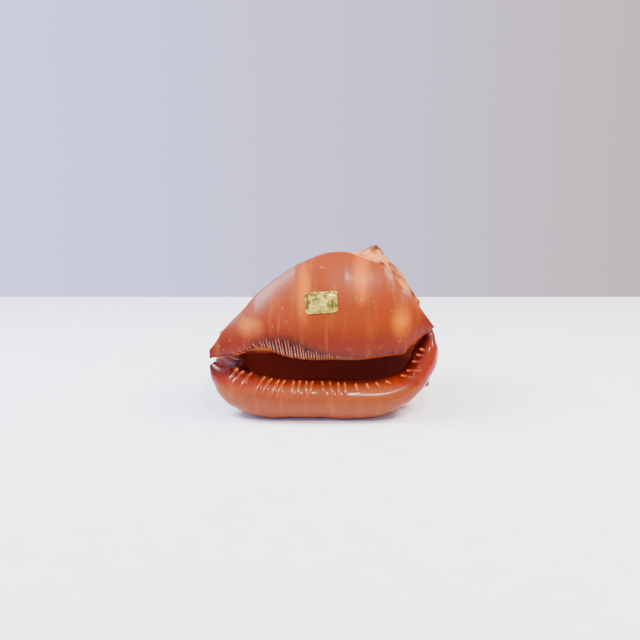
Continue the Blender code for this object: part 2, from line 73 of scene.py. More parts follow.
# Body from the shoulder (0) to the canal end (1), as a part of the shoulder radius
BODY_AT = (0, 0.12, 0.25, 0.4, 0.55, 0.7, 0.83, 0.93, 1.0)
BODY_SHAPE = (1.0, 1.045, 1.05, 0.985, 0.84, 0.64, 0.43, 0.28, 0.18)
LIP_SIDE_SHAPE = (1.0, 1.03, 1.03, 1.0, 0.93, 0.83, 0.72, 0.60, 0.42)
CANAL_BEND = 14.0

# Knob rows: place along the body, count in a turn, height, phase, width
KNOBS = (
    (0.00, 11, 4.8, 0.00, 0.070),
    (0.27, 11, 4.6, 0.36, 0.060),
    (0.45, 11, 3.4, 0.12, 0.055),
    (0.62, 11, 2.0, 0.45, 0.050),
)
KNOB_SHARPNESS = 1.6

# Hollow inside the last whorl, wound about the older ones
WALL = 4.6
HOLLOW_FROM = 336.0
HOLLOW_TO = 40.0
CORE_AT = (0, 0.25, 0.5, 0.75, 1)
CORE_SHAPE = (1.02, 1.02, 0.70, 0.40, 0.22)

# Outer lip: centre line and the half sizes of its rolled section
LIP_PATH = (
    (-74.5, -18, 34.8), (-69.1, -20, 29.0), (-61.7, -23, 22.4), (-53.6, -25, 18.4),
    (-41.6, -26, 15.0), (-22.4, -27, 13.7), (4.0, -27, 13.4), (31.4, -27, 13.2),
    (48.6, -24, 17.9), (59.6, -20, 25.1), (66.7, -16, 36.3), (70.0, -13, 46.5),
    (70.5, -12, 55.0),
)
LIP_HIGH = (2.4, 7.7, 11.2, 13.2, 14.0, 13.3, 13.0, 12.4, 10.1, 9.0, 8.7, 6.4, 2.4)
LIP_DEEP = (3.0, 7.5, 10.5, 13.0, 14.5, 15.0, 15.0, 15.0, 15.0, 15.0, 13.5, 10.5, 5.0)

# Parietal shield: rim, columella edge and plate thickness along the length
RIM_Z_AT = (-76.0, -72.2, -67.4, -60.7, -53.3, -46, -33.5, -18.4, 1.3, 13.8, 22.4,
            30.3, 39.5, 45.6, 50.9, 56.9, 63.6, 68.5, 73.0)
RIM_Z = (44.6, 49.4, 57.2, 64.6, 72.0, 80.5, 90.8, 100.9, 108.6, 109.4, 106.8,
         104.1, 100.5, 94.7, 87.5, 82.3, 73.0, 66.3, 59.8)
RIM_Y_AT = (-76, -60, -46, -33, -18, 0, 14, 30, 45, 57, 65, 73)
RIM_Y = (-20, -17, -15, -13, -11, -9, -9, -11, -14, -16, -17, -17)
EDGE_AT = (-76.0, -72.8, -59.7, -50.1, -42.1, -31, -20, -8.4, 7.7, 24.5, 36.2, 47.4,
           52.5, 58.4, 65, 73.0)
EDGE_Z = (38.4, 38.9, 40.9, 44.2, 47.2, 44.7, 42, 41.3, 41.3, 41, 42, 43,
          43.6, 46.8, 52.2, 58.6)
EDGE_Y = (-20, -20.5, -25, -29, -31, -34, -36, -37, -37, -36, -34, -31,
          -28.5, -24, -19.5, -16)
PLATE_AT = (-76, -68, -55, -42, -20, 10, 40, 52, 62, 73)
PLATE_AT_EDGE = (1.6, 6, 11, 14, 13, 12, 12, 9, 6, 1.6)
PLATE_AT_RIM = (1.6, 2.4, 3.0, 3.2, 3.4, 3.6, 3.4, 3.2, 2.8, 1.6)
BULGE_AT = (-76, -60, -40, 0, 40, 60, 73)
BULGE_LOW = (0, 3, 5, 5, 4, 2.5, 0)
BULGE_TOP = (0, 4, 9, 14, 11, 5, 0)

# Canal: the thick side that joins it to the lip, and the groove through it
CANAL_SIDE = ((-56, -19, 25), (-61, -12, 26), (-64, -2, 28), (-64, 8, 32), (-63, 17, 38))
CANAL_SIDE_SIZE = (12.5, 12.0, 11.0, 9.5, 7.0)
GROOVE = ((-46, -29, 39), (-57, -24, 38), (-66, -16, 37.5), (-73, -6, 38.5), (-81, 3, 40))
GROOVE_SIZE = (4.0, 4.4, 4.4, 4.2, 4.2)

# Posterior callus that closes the shell behind the spire end of the aperture
CALLUS = ((46, -3, 50), (57, -5, 53), (65, -8, 56), (71, -11, 58))
CALLUS_SIZE = (9.0, 9.5, 7.5, 2.5)

# Teeth of the lip: place along it, lean of the outer end, angles of outer end and tip
TEETH = (
    (0.142, -0.020, 116, 180), (0.202, 0.010, 112, 178), (0.262, 0.022, 108, 178),
    (0.338, 0.026, 104, 172), (0.366, 0.024, 110, 170), (0.388, 0.016, 106, 166),
    (0.404, 0.016, 110, 168), (0.426, 0.003, 110, 168), (0.440, 0.004, 110, 170),
    (0.453, -0.002, 112, 168), (0.466, 0.008, 112, 168), (0.484, -0.006, 114, 168),
    (0.498, -0.008, 114, 168), (0.514, -0.002, 120, 166), (0.526, -0.003, 118, 165),
    (0.548, -0.003, 134, 163), (0.572, -0.004, 140, 164), (0.600, -0.004, 144, 167),
    (0.636, -0.010, 148, 166), (0.706, -0.036, 116, 162), (0.750, -0.034, 106, 160),
    (0.804, -0.014, 124, 156), (0.842, -0.006, 118, 150), (0.878, 0.002, 114, 146),
)
TOOTH_SIZE = 0.74
TOOTH_RISE = 0.35

# Ridges of the columella edge: ends, spacing, reach up the shield and lean
RIDGE_LEAN_AT = (-54, -42, -30, -15, 20, 45, 54)
RIDGE_LEAN = (-6.5, -5.5, -4.0, -2, 0, 1.5, 3.0)

# Carved panel on the back: middle, half sizes, depth and its low relief
PANEL_THETA = 168.0
PANEL_D = 66.0
PANEL_ALONG = 29.0
PANEL_ROUND = 25.0
PANEL_SUNK = 1.3
PANEL_RADIUS = 46.0
FRAME_WIDE = 1.3
FRAME_HIGH = 0.7
FLOWER_SIZE = 10.5
LEAVES = ((25, 18.9, 7.4, 3.6), (155, 18.9, 7.4, 3.6), (-27, 18.9, 7.4, 3.5),
          (207, 18.9, 7.4, 3.5), (88, 17.2, 5.6, 3.2), (271, 17.2, 5.6, 3.2))

# Blank foil sticker on the shield: middle, size, tilt, thickness and gap
LABEL_X = -1.8
LABEL_Z = 79.4
LABEL_WIDE = 20.6
LABEL_HIGH = 12.6
LABEL_TILT = 4.7

# Grid of the distance fields: step, width of the known band and extent
VOXEL = 0.45
BAND = 9.0
GRID_START = np.floor(np.array([-79.0, -44.5, -2.0]) / VOXEL).astype(int)
GRID_COUNT = tuple(int(v) for v in np.ceil(np.array([158.0, 103.0, 115.0]) / VOXEL))
BODY_STEPS = 300
SHELL_FACES = 190000
CAMEO_AROUND = 420
CAMEO_ACROSS = 110

# Fine ridges of the columella edge
PLICA_FROM = -55.0
PLICA_TO = 52.0
PLICA_STEP_AT = (-55, -40, -25, -10, 10, 30, 52)
PLICA_STEP = (2.3, 2.0, 1.8, 1.65, 1.55, 1.6, 1.9)
PLICA_REACH_AT = (-55, -46, -36, -22, -12, 0, 20, 45, 54)
PLICA_REACH = (8, 11, 15, 20, 17, 12, 10, 9, 7)

# Middle of the slit between the lip and the shield
MOUTH_PATH = ((-73, -18, 36.5), (-62, -22, 36), (-50, -24, 37), (-30, -26, 36), (0, -26, 35),
              (30, -26, 35), (50, -22, 39), (62, -14, 46), (70, -8, 55))

# Camera: lens, distance and height above the level of the middle of the view
LENS = 48.09
VIEW_TARGET = np.array([-2.6, -20.0, 65.2])
VIEW_ELEVATION = 15.0
VIEW_DISTANCE = 560.0

# Colours across the shield and the lip, by x in millimetres
SHIELD_BANDS = (
    (-72, (147, 61, 21)), (-52, (167, 77, 19)), (-34, (166, 68, 7)), (-22, (158, 62, 7)),
    (-12, (185, 85, 7)), (-4, (172, 70, 7)), (4, (143, 60, 15)), (14, (185, 81, 19)),
    (23, (196, 92, 7)), (31, (146, 53, 7)), (40, (143, 50, 7)), (49, (165, 77, 7)),
    (58, (153, 67, 7)), (70, (123, 46, 7)),
)
LIP_BANDS = (
    (-72, (136, 53, 19)), (-52, (145, 54, 9)), (-42, (130, 44, 7)), (-32, (142, 55, 8)),
    (-20, (158, 62, 7)), (-12, (160, 67, 11)), (-3, (205, 97, 14)), (7, (176, 80, 20)),
    (17, (196, 98, 29)), (27, (179, 97, 38)), (37, (134, 65, 26)), (47, (128, 62, 27)),
    (57, (137, 79, 40)), (70, (125, 56, 25)),
)
SHIELD_PATCHES = (
    ((-47.0, 60.0), (11.0, 9.0), (202, 111, 42), 0.75, 0.8),
    ((-13.0, 84.0), (7.0, 24.0), (217, 115, 16), 0.45, 0.9),
    ((3.0, 96.0), (9.0, 15.0), (131, 52, 16), 0.55, 0.7),
    ((24.0, 92.0), (8.0, 18.0), (230, 118, 7), 0.45, 0.9),
    ((50.0, 64.0), (9.0, 15.0), (203, 108, 7), 0.70, 0.9),
    ((-25.0, 66.0), (16.0, 10.0), (130, 44, 7), 0.45, 0.9),
    ((36.0, 76.0), (9.0, 15.0), (131, 39, 7), 0.50, 0.9),
)
# Deep red-brown low on the shield: partly the shell's own colour, partly painted shade
SHIELD_LOW_AND_SHADE = (96, 16, 6)
# Near black between the ridges of the columella edge: painted shade
PLICA_GAP_SHADE = (8, 7, 7)
LIP_INNER = (112, 24, 7)
# Dark maroon near the slit between the lip and the shield: painted shade
MAROON_SLIT_SHADE = (72, 12, 8)
INSIDE_NEAR = (150, 46, 22)
# Paler colour deep in the hollow: painted light
INSIDE_DEEP_LIT = (190, 84, 62)
TOOTH_COLOUR = (237, 118, 57)
TOOTH_SIDE = (151, 55, 16)
BACK_CREAM = (190, 116, 58)
BACK_TAN = (120, 60, 28)
BACK_BROWN = (60, 19, 7)
KNOB_TIP = (86, 44, 23)

# Floor's far edge, surroundings and lights
FLOOR_FAR = 313.0
WORLD_STRENGTH = 2.1
WALL_LEFT = (196, 202, 255)
WALL_RIGHT = (176, 158, 160)
LIGHTS = (
    ("window", (-430, -10, 520), (0, 0, 30), 260, 12.0, (0.84, 0.92, 1.0)),
    ("lamp", (430, -10, 520), (0, 0, 30), 220, 10.0, (1.0, 0.90, 0.78)),
    ("spot", (110, -330, 560), (0, 0, 40), 60, 3.2, (1.0, 0.95, 0.90)),
)


def spline(at, knots, values):
    """Natural cubic through the values, held level outside the knots."""
    x = np.asarray(knots, float)
    y = np.asarray(values, float)
    n = len(x)
    h = np.diff(x)
    system = np.eye(n)
    right = np.zeros(y.shape)
    for i in range(1, n - 1):
        system[i, i - 1] = h[i - 1]
        system[i, i] = 2 * (h[i - 1] + h[i])
        system[i, i + 1] = h[i]
        right[i] = 6 * ((y[i + 1] - y[i]) / h[i] - (y[i] - y[i - 1]) / h[i - 1])
    m = np.linalg.solve(system, right)
    at = np.clip(np.asarray(at, float), x[0], x[-1])
    k = np.clip(np.searchsorted(x, at, side="right") - 1, 0, n - 2)
    t = at - x[k]
    step = h[k]
    if y.ndim > 1:
        t = t[..., None]
        step = step[..., None]
    slope = (y[k + 1] - y[k]) / step - step * (2 * m[k] + m[k + 1]) / 6
    return y[k] + t * slope + t ** 2 * m[k] / 2 + t ** 3 * (m[k + 1] - m[k]) / (6 * step)


def ease(x, low, high):
    """0 below low, 1 above high, smooth between."""
    t = np.clip((np.asarray(x, float) - low) / (high - low), 0, 1)
    return t * t * (3 - 2 * t)


def unit(vector):
    return vector / np.linalg.norm(vector)


def axis_frame():
    """Unit vectors along the axis to the canal, towards the aperture side and up."""
    dip = math.radians(AXIS_DIP)
    yaw = math.radians(AXIS_YAW)
    along = unit(np.array([-math.cos(dip) * math.cos(yaw), -math.sin(yaw), -math.sin(dip)]))
    up = unit(np.array([0, 0, 1.0]) - along * along[2])
    front = np.cross(up, along)
    return along, -front if front[1] > 0 else front, up


ALONG, FRONT, UP = axis_frame()


def in_turn(theta):
    """Angle brought into the last turn."""
    return (np.asarray(theta, float) - TURN_START) % 360 + TURN_START


def shoulder_radius(theta):
    """Radius of the growing whorl's shoulder, for any angle back to the tip."""
    theta = np.asarray(theta, float)
    turns = np.floor((theta - TURN_START) / 360)
    return spline(theta - 360 * turns, RADIUS_AT, RADIUS) * WHORL_RATIO ** turns


def shoulder_depth(theta):
    return spline(theta, DEPTH_AT, DEPTH)


def spire_depth(r, theta):
    """Depth of the stepped spire at that radius."""
    t = in_turn(theta)
    inner_r = float(shoulder_radius(t - 360))
    inner_d = float(shoulder_depth(t - 360))
    q = np.log(inner_r / np.maximum(r, 0.05)) / math.log(WHORL_RATIO)
    q = q - np.floor(q)
    step = np.where(q < 0.88, -1 + 2 * q / 0.88, 1 - 2 * (q - 0.88) / 0.12)
    return inner_d * (r / inner_r) ** 0.85 * (1 + SPIRE_STEP * step)


def flank_shape(t, u):
    """Radius along the body; towards the lip the canal side stays wide."""
    wide = ease(t, 215, 300)
    return (spline(u, BODY_AT, BODY_SHAPE) * (1 - wide)
            + spline(u, BODY_AT, LIP_SIDE_SHAPE) * wide)


def flank_radius(theta, d):
    """Radius of the smooth body at a depth, without the drop at the lip."""
    t = np.minimum(theta, LIP_ANGLE)
    depth = shoulder_depth(t)
    u = np.clip((d - depth) / (LENGTH - depth), 0, 1)
    return shoulder_radius(t) * flank_shape(t, u)


def knob_strength(theta, d, row):
    """Knobs are full on the back, and absent under the shield and the panel."""
    fade = ease(theta, 55, 95)
    fade = fade * (1 - ease(theta, 235, 250) if row == 0 else 1 - ease(theta, 280, 298))
    a = (d - PANEL_D) / PANEL_ALONG
    b = math.radians(theta - PANEL_THETA) * PANEL_RADIUS / PANEL_ROUND
    return fade * ease(np.hypot(a, b), 1.08, 1.32)


def body_profile(theta, spire=5, ramp=3, flank=19):
    """Distances d, r and place u along the outer surface at that angle."""
    t = float(in_turn(theta))
    drop = float(ease(t, LIP_ANGLE - LIP_CLOSE, LIP_ANGLE))
    rs = float(shoulder_radius(t)) * (1 - drop) + float(shoulder_radius(t - 360)) * drop
    ds = float(shoulder_depth(t)) * (1 - drop) + float(shoulder_depth(t - 360)) * drop
    ru = float(shoulder_radius(t - 360)) * ((1 - drop) + drop / WHORL_RATIO)
    du = float(spire_depth(np.array(ru), t))
    ra = np.linspace(0, ru, spire, endpoint=False)
    da = spire_depth(ra, t)
    s = np.linspace(0, 1, ramp, endpoint=False)
    rb = ru + (rs - ru) * s
    db = du + (ds - du) * s ** 1.3
    u = np.linspace(0, 1, flank)
    dc = ds + u * (LENGTH - ds)
    rc = rs * flank_shape(t, u)
    for row, (place_u, count, high, phase, wide) in enumerate(KNOBS):
        wave = 0.5 + 0.5 * math.cos(math.radians(t * count) + phase * 2 * math.pi)
        tall = high * rs / 50 * wave ** KNOB_SHARPNESS
        strength = tall * knob_strength(t, dc, row)
        rc = rc + strength * np.exp(-((u - place_u) / wide) ** 2)
        if row == 0:
            edge = float(strength[0])
            near = np.exp(-((1 - s) * 0.25 / wide) ** 2)
            rb = rb + edge * near
            db = db - 0.45 * edge * near
            dc = dc - 0.45 * edge * np.exp(-(u / wide) ** 2)
    d = np.concatenate([da, db, dc])
    r = np.concatenate([ra, rb, rc])
    u = np.concatenate([np.zeros(spire + ramp), u])
    return d, r, u


def place(d, r, theta, u=0.0):
    """Point of the drawing for axis coordinates; the canal end bends back."""
    a = np.radians(theta)
    point = (APEX + np.multiply.outer(d, ALONG)
             + np.multiply.outer(r * np.cos(a), FRONT)
             + np.multiply.outer(r * np.sin(a), UP))
    point[..., 1] += CANAL_BEND * np.clip((np.asarray(u) - 0.75) / 0.25, 0, None) ** 2
    return point


def body_rings(steps, spire, ramp, flank):
    """Outer surface of the coil, one ring for each place along the profile."""
    lines = []
    for theta in np.linspace(TURN_START, LIP_ANGLE, steps, endpoint=False):
        d, r, u = body_profile(theta, spire, ramp, flank)
        lines.append(place(d, r, theta, u))
    return np.transpose(np.array(lines), (1, 0, 2))


def hollow_ring(theta, count=9):
    """Closed outline of the hollow at one angle, between the core and the wall."""
    t = min(theta, LIP_ANGLE)
    depth = float(shoulder_depth(t))
    core = float(shoulder_radius(theta - 360))
    first = max(depth, float(spire_depth(np.array(core), t))) + WALL
    last = LENGTH - 6.0
    v = 0.5 - 0.5 * np.cos(np.linspace(0, math.pi, count))
    d = first + v * (last - first)
    inner = core * spline(v, CORE_AT, CORE_SHAPE) + 0.8
    outer = flank_radius(t, d) - WALL
    cap = (1 - (1 - np.clip(v / 0.10, 0, 1)) ** 2.4) ** (1 / 2.4)
    tail = np.clip((1 - v) / 0.25, 0, 1) ** 0.6
    outer = inner + np.maximum(outer - inner, 0.6) * cap * tail
    d = np.concatenate([d, d[::-1][1:-1]])
    r = np.concatenate([outer, inner[::-1][1:-1]])
    u = np.clip((d - depth) / (LENGTH - depth), 0, 1)
    return place(d, r, theta, u)


def lip_point(s, phi, grow=0.0):
    """Point on the rolled lip; phi 0 is outward, 90 front, 180 into the aperture."""
    knots = np.linspace(0, 1, len(LIP_PATH))
    centre = spline(s, knots, LIP_PATH)
    ahead = spline(min(s + 1e-3, 1), knots, LIP_PATH)
    behind = spline(max(s - 1e-3, 0), knots, LIP_PATH)
    tangent = unit(ahead - behind)
    front = unit(np.array([0, -1.0, 0]) + tangent * tangent[1])
    outward = np.cross(tangent, front)
    high = float(spline(s, knots, LIP_HIGH)) + grow
    deep = float(spline(s, knots, LIP_DEEP)) + grow
    a = np.radians(phi)
    return (centre + np.multiply.outer(high * np.cos(a), outward)
            + np.multiply.outer(deep * np.sin(a), front))


def shield_front(x, t):
    """Front of the shield in the y-z plane, t 0 at the columella edge, 1 at the rim."""
    y0 = float(spline(x, EDGE_AT, EDGE_Y))
    z0 = float(spline(x, EDGE_AT, EDGE_Z))
    y3 = float(spline(x, RIM_Y_AT, RIM_Y))
    z3 = float(np.interp(x, RIM_Z_AT, RIM_Z) + spline(x, RIM_Z_AT, RIM_Z)) / 2
    y1 = y0 - float(spline(x, BULGE_AT, BULGE_LOW))
    z1 = z0 + (z3 - z0) * 0.36
    y2 = y3 - float(spline(x, BULGE_AT, BULGE_TOP))
    z2 = z3 - (z3 - z0) * 0.18
    a = (1 - t) ** 3
    b = 3 * t * (1 - t) ** 2
    c = 3 * t ** 2 * (1 - t)
    e = t ** 3
    return a * y0 + b * y1 + c * y2 + e * y3, a * z0 + b * z1 + c * z2 + e * z3


def shield_sides(x, count=11):
    """Front and back lines of the plate's section at one x, edge to rim."""
    t = 0.5 - 0.5 * np.cos(np.linspace(0, math.pi, count))
    t = 0.5 * t + 0.5 * np.linspace(0, 1, count)
    y, z = shield_front(x, t)
    size = np.hypot(np.gradient(y, t), np.gradient(z, t))
    normal = np.stack([np.zeros(count), np.gradient(z, t) / size, -np.gradient(y, t) / size], -1)
    run = np.concatenate([[0], np.cumsum(np.hypot(np.diff(y), np.diff(z)))])
    taper = np.interp(run / run[-1], (0, 0.35, 0.75, 1), (1, 0.62, 0.08, 0))
    at_edge = float(spline(x, PLATE_AT, PLATE_AT_EDGE))
    at_rim = float(spline(x, PLATE_AT, PLATE_AT_RIM))
    half = np.minimum(at_rim + (at_edge - at_rim) * taper, run[-1]) / 2
    round_edge = np.sqrt(1 - (1 - np.clip(run / half, 0, 1)) ** 2)
    round_rim = np.sqrt(1 - (1 - np.clip((run[-1] - run) / half, 0, 1)) ** 2)
    offset = normal * (half * round_edge * round_rim)[:, None]
    middle = np.stack([np.full(count, float(x)), y, z], -1) + normal * half[:, None]
    return middle - offset, middle + offset


def shield_ring(x, count):
    front, back = shield_sides(x, count)
    return np.concatenate([front, back[::-1][1:-1]])


def shield_skin(x, run):
    """Point of the plate's skin a distance from its edge, negative behind it."""
    front, back = shield_sides(x, 40)
    line = front if run >= 0 else back
    length = np.concatenate([[0], np.cumsum(np.linalg.norm(np.diff(line, axis=0), axis=1))])
    return np.array([np.interp(abs(run), length, line[:, i]) for i in range(3)])


def tube_rings(path, sizes, rings, count):
    """Round rings along a smooth path."""
    knots = np.linspace(0, 1, len(path))
    out = []
    for s in np.linspace(0, 1, rings):
        centre = spline(s, knots, path)
        tangent = unit(spline(min(s + 1e-3, 1), knots, path)
                       - spline(max(s - 1e-3, 0), knots, path))
        side = unit(np.cross(tangent, (0, 0, 1.0)))
        rise = np.cross(side, tangent)
        size = float(spline(s, knots, sizes))
        a = np.linspace(0, 2 * math.pi, count, endpoint=False)
        out.append(centre + np.multiply.outer(size * np.cos(a), side)
                   + np.multiply.outer(size * np.sin(a), rise))
    return out


def bar_rings(path, sizes, count, across):
    """Small rings along a short line of points, each with its own size."""
    path = np.asarray(path, float)
    tangent = np.gradient(path, axis=0)
    out = []
    for centre, direction, size in zip(path, tangent, sizes):
        rise = unit(np.cross(direction, across))
        side = unit(np.cross(rise, direction))
        a = np.linspace(0, 2 * math.pi, count, endpoint=False)
        out.append(centre + np.multiply.outer(size * np.cos(a), side)
                   + np.multiply.outer(size * np.sin(a), rise))
    return out


def tooth_rings(tip, lean, phi_root, phi_tip):
    """One tooth lying across the lip's inner slope, thickest near its tip."""
    path = [lip_point(tip - lean * (1 - k), phi_root + (phi_tip - phi_root) * k, TOOTH_RISE)
            for k in (0, 0.35, 0.8, 1.0)]
    along_lip = lip_point(tip + 0.01, phi_tip) - lip_point(tip - 0.01, phi_tip)
    return bar_rings(path, TOOTH_SIZE * np.array([0.4, 0.9, 1.0, 0.6]), 4, along_lip)

def loft(rings, cap="fan"):
    """Points, quads and triangles of a closed surface through a stack of rings."""
    rings = np.asarray(rings, float)
    n, m = rings.shape[:2]
    index = np.arange(n * m).reshape(n, m)
    last = n if cap == "loop" else n - 1
    near = index[:last]
    far = np.roll(index, -1, axis=0)[:last]
    quads = np.stack([near, far, np.roll(far, -1, 1), np.roll(near, -1, 1)], -1).reshape(-1, 4)
    points = rings.reshape(-1, 3)
    triangles = []
    if cap == "fan":
        points = np.concatenate([points, [rings[0].mean(0), rings[-1].mean(0)]])
        for k, ring in enumerate((index[0], index[-1])):
            middle = np.full(m, n * m + k)
            triangles.append(np.stack([ring, np.roll(ring, -1), middle], -1))
    if cap == "strip":
        half = np.arange(m // 2)
        for ring in (index[0], index[-1]):
            a, b, c, d = ring[half], ring[half + 1], ring[m - half - 1], ring[-half]
            triangles.append(np.stack([a, b, c], -1))
            triangles.append(np.stack([a, c, d], -1))
    triangles = np.concatenate(triangles) if triangles else np.zeros((0, 3), int)
    return points, quads, triangles


def field(stacks, cap="fan"):
    """Signed distances on the grid to the joined shape of several ring stacks."""
    points, quads, triangles, start = [], [], [], 0
    for rings in stacks:
        p, q, t = loft(rings, cap)
        points.append(p)
        quads.append(q + start)
        triangles.append(t + start)
        start += len(p)
    grid = openvdb.FloatGrid.createLevelSetFromPolygons(
        np.concatenate(points).astype(np.float32),
        quads=np.concatenate(quads).astype(np.uint32),
        triangles=np.concatenate(triangles).astype(np.uint32),
        transform=openvdb.createLinearTransform(voxelSize=VOXEL), halfWidth=BAND)
    values = np.empty(GRID_COUNT, np.float32)
    grid.copyToArray(values, ijk=tuple(GRID_START))
    return values


def joined(a, b, round_by):
    """Union of two fields with a rounded inner corner."""
    h = np.maximum(round_by - np.abs(a - b), 0) / round_by
    return np.minimum(a, b) - h * h * (round_by * 0.25)


def cut(a, b, round_by):
    return -joined(-a, b, round_by)


def softened(values, times):
    """Field smoothed by a small weighted mean along each direction."""
    for _ in range(times):
        for axis in range(3):
            ahead = np.roll(values, -1, axis)
            behind = np.roll(values, 1, axis)
            values = values * 0.5 + (ahead + behind) * 0.25
    return values


def sample(values, points):
    """Value of the field at drawing points, blended between the grid's places."""
    at = points / VOXEL - GRID_START
    low = np.clip(np.floor(at).astype(int), 0, np.array(GRID_COUNT) - 2)
    f = np.clip(at - low, 0, 1)
    out = 0
    for i in (0, 1):
        for j in (0, 1):
            for k in (0, 1):
                weight = (np.abs(1 - i - f[:, 0]) * np.abs(1 - j - f[:, 1])
                          * np.abs(1 - k - f[:, 2]))
                out = out + weight * values[low[:, 0] + i, low[:, 1] + j, low[:, 2] + k]
    return out


def gradient(values, points, step=0.4):
    out = np.empty_like(points)
    for axis in range(3):
        move = np.zeros(3)
        move[axis] = step
        out[:, axis] = sample(values, points + move) - sample(values, points - move)
    return out / np.maximum(np.linalg.norm(out, axis=1), 1e-9)[:, None]


def mesh_object(name, points, quads, triangles=()):
    """Object from drawing points and faces, smooth shaded."""
    corners = [np.asarray(f, np.int32).reshape(-1) for f in (quads, triangles)]
    sides = np.concatenate([np.full(len(corners[0]) // 4, 4), np.full(len(corners[1]) // 3, 3)])
    mesh = bpy.data.meshes.new(name)
    mesh.vertices.add(len(points))
    mesh.vertices.foreach_set("co", ((points - CENTRE) * MM).astype(np.float32).ravel())
    mesh.loops.add(int(sides.sum()))
    mesh.loops.foreach_set("vertex_index", np.concatenate(corners))
    mesh.polygons.add(len(sides))
    mesh.polygons.foreach_set("loop_start", (np.cumsum(sides) - sides).astype(np.int32))
    mesh.update(calc_edges=True)
    mesh.validate()
    mesh.shade_smooth()
    ob = bpy.data.objects.new(name, mesh)
    bpy.context.scene.collection.objects.link(ob)
    return ob


def points_of(mesh):
    co = np.empty(len(mesh.vertices) * 3, np.float32)
    mesh.vertices.foreach_get("co", co)
    return co.reshape(-1, 3).astype(float) / MM + CENTRE


def mark(mesh, name, values):
    """Stores one number for each vertex, for the materials to read."""
    layer = mesh.attributes.new(name, "FLOAT", "POINT")
    layer.data.foreach_set("value", np.asarray(values, np.float32))


def outward(ob):
    bm = bmesh.new()
    bm.from_mesh(ob.data)
    bmesh.ops.recalc_face_normals(bm, faces=bm.faces)
    bm.to_mesh(ob.data)
    bm.free()


def axis_coordinates(points):
    """Distance along the coiling axis, distance from it, and the angle."""
    rel = points - APEX
    d = rel @ ALONG
    for _ in range(2):
        u = np.clip(d / LENGTH, 0, 1)
        bend = CANAL_BEND * np.clip((u - 0.75) / 0.25, 0, None) ** 2
        moved = rel - np.stack([0 * bend, bend, 0 * bend], -1)
        d = moved @ ALONG
    a = moved @ FRONT
    b = moved @ UP
    return d, np.hypot(a, b), in_turn(np.degrees(np.arctan2(b, a)))


def shield_table():
    """Depth of the shield's front and distance up it, over x and z."""
    xs = np.linspace(-76, 73, 150)
    levels = np.linspace(30, 112, 165)
    t = np.linspace(0, 1, 80)
    depth, run = [], []
    for x in xs:
        y, z = shield_front(x, t)
        length = np.concatenate([[0], np.cumsum(np.hypot(np.diff(y), np.diff(z)))])
        depth.append(np.interp(levels, z, y))
        run.append(np.interp(levels, z, length))
    return xs, levels, np.array(depth), np.array(run)


def look_up(table, xs, levels, x, z):
    """Table value between its places."""
    i = np.clip((x - xs[0]) / (xs[1] - xs[0]), 0, len(xs) - 1.001)
    j = np.clip((z - levels[0]) / (levels[1] - levels[0]), 0, len(levels) - 1.001)
    i0, j0 = i.astype(int), j.astype(int)
    fi, fj = i - i0, j - j0
    return ((table[i0, j0] * (1 - fj) + table[i0, j0 + 1] * fj) * (1 - fi)
            + (table[i0 + 1, j0] * (1 - fj) + table[i0 + 1, j0 + 1] * fj) * fi)


def edge_distance(points):
    """Distance in the section plane from the tip of the shield's rounded edge."""
    xs = np.linspace(-76, 73, 75)
    tips = np.array([shield_sides(x)[0][0] for x in xs])
    y0 = np.interp(points[:, 0], xs, tips[:, 1])
    z0 = np.interp(points[:, 0], xs, tips[:, 2])
    return np.hypot(points[:, 1] - y0, points[:, 2] - z0)


def mouth_distance(points):
    """Distance from the line through the middle of the slit."""
    near = np.full(len(points), 1e9)
    for s in np.linspace(0, 1, 90):
        at = spline(s, np.linspace(0, 1, len(MOUTH_PATH)), MOUTH_PATH)
        near = np.minimum(near, np.linalg.norm(points - at, axis=1))
    return near


def build_fields():
    """All the solid shapes of the shell as fields, and the shell itself."""
    parts = {}
    parts["body"] = field([body_rings(BODY_STEPS, 30, 10, 110)])
    parts["side"] = field([tube_rings(CANAL_SIDE, CANAL_SIDE_SIZE, 30, 40)])
    parts["callus"] = field([tube_rings(CALLUS, CALLUS_SIZE, 24, 40)])
    turns = np.linspace(HOLLOW_FROM, HOLLOW_TO, 130)
    parts["hollow"] = field([[hollow_ring(t, 31) for t in turns]], "strip")
    places = np.linspace(-76, 73, 240)
    parts["shield"] = field([[shield_ring(x, 60) for x in places]])
    s = 0.5 - 0.5 * np.cos(np.linspace(0.05, math.pi - 0.05, 180))
    phi = np.linspace(0, 360, 90, endpoint=False)
    parts["lip"] = field([[lip_surface(k, phi) for k in s]])
    parts["groove"] = field([tube_rings(GROOVE, GROOVE_SIZE, 40, 32)])
    parts["teeth"] = field([tooth_rings(*tooth) for tooth in TEETH])
    shell = joined(parts["body"], parts["side"], 5.0)
    shell = joined(shell, parts["callus"], 5.0)
    shell = cut(shell, parts["hollow"], 1.5)
    shell = joined(shell, parts["shield"], 1.6)
    shell = joined(shell, parts["lip"], 2.5)
    shell = cut(shell, parts["groove"], 1.5)
    shell = joined(shell, parts["teeth"], 0.7)
    z = (GRID_START[2] + np.arange(GRID_COUNT[2])) * VOXEL
    shell = np.maximum(shell, (CENTRE[2] - z).astype(np.float32)[None, None, :])
    return parts, shell


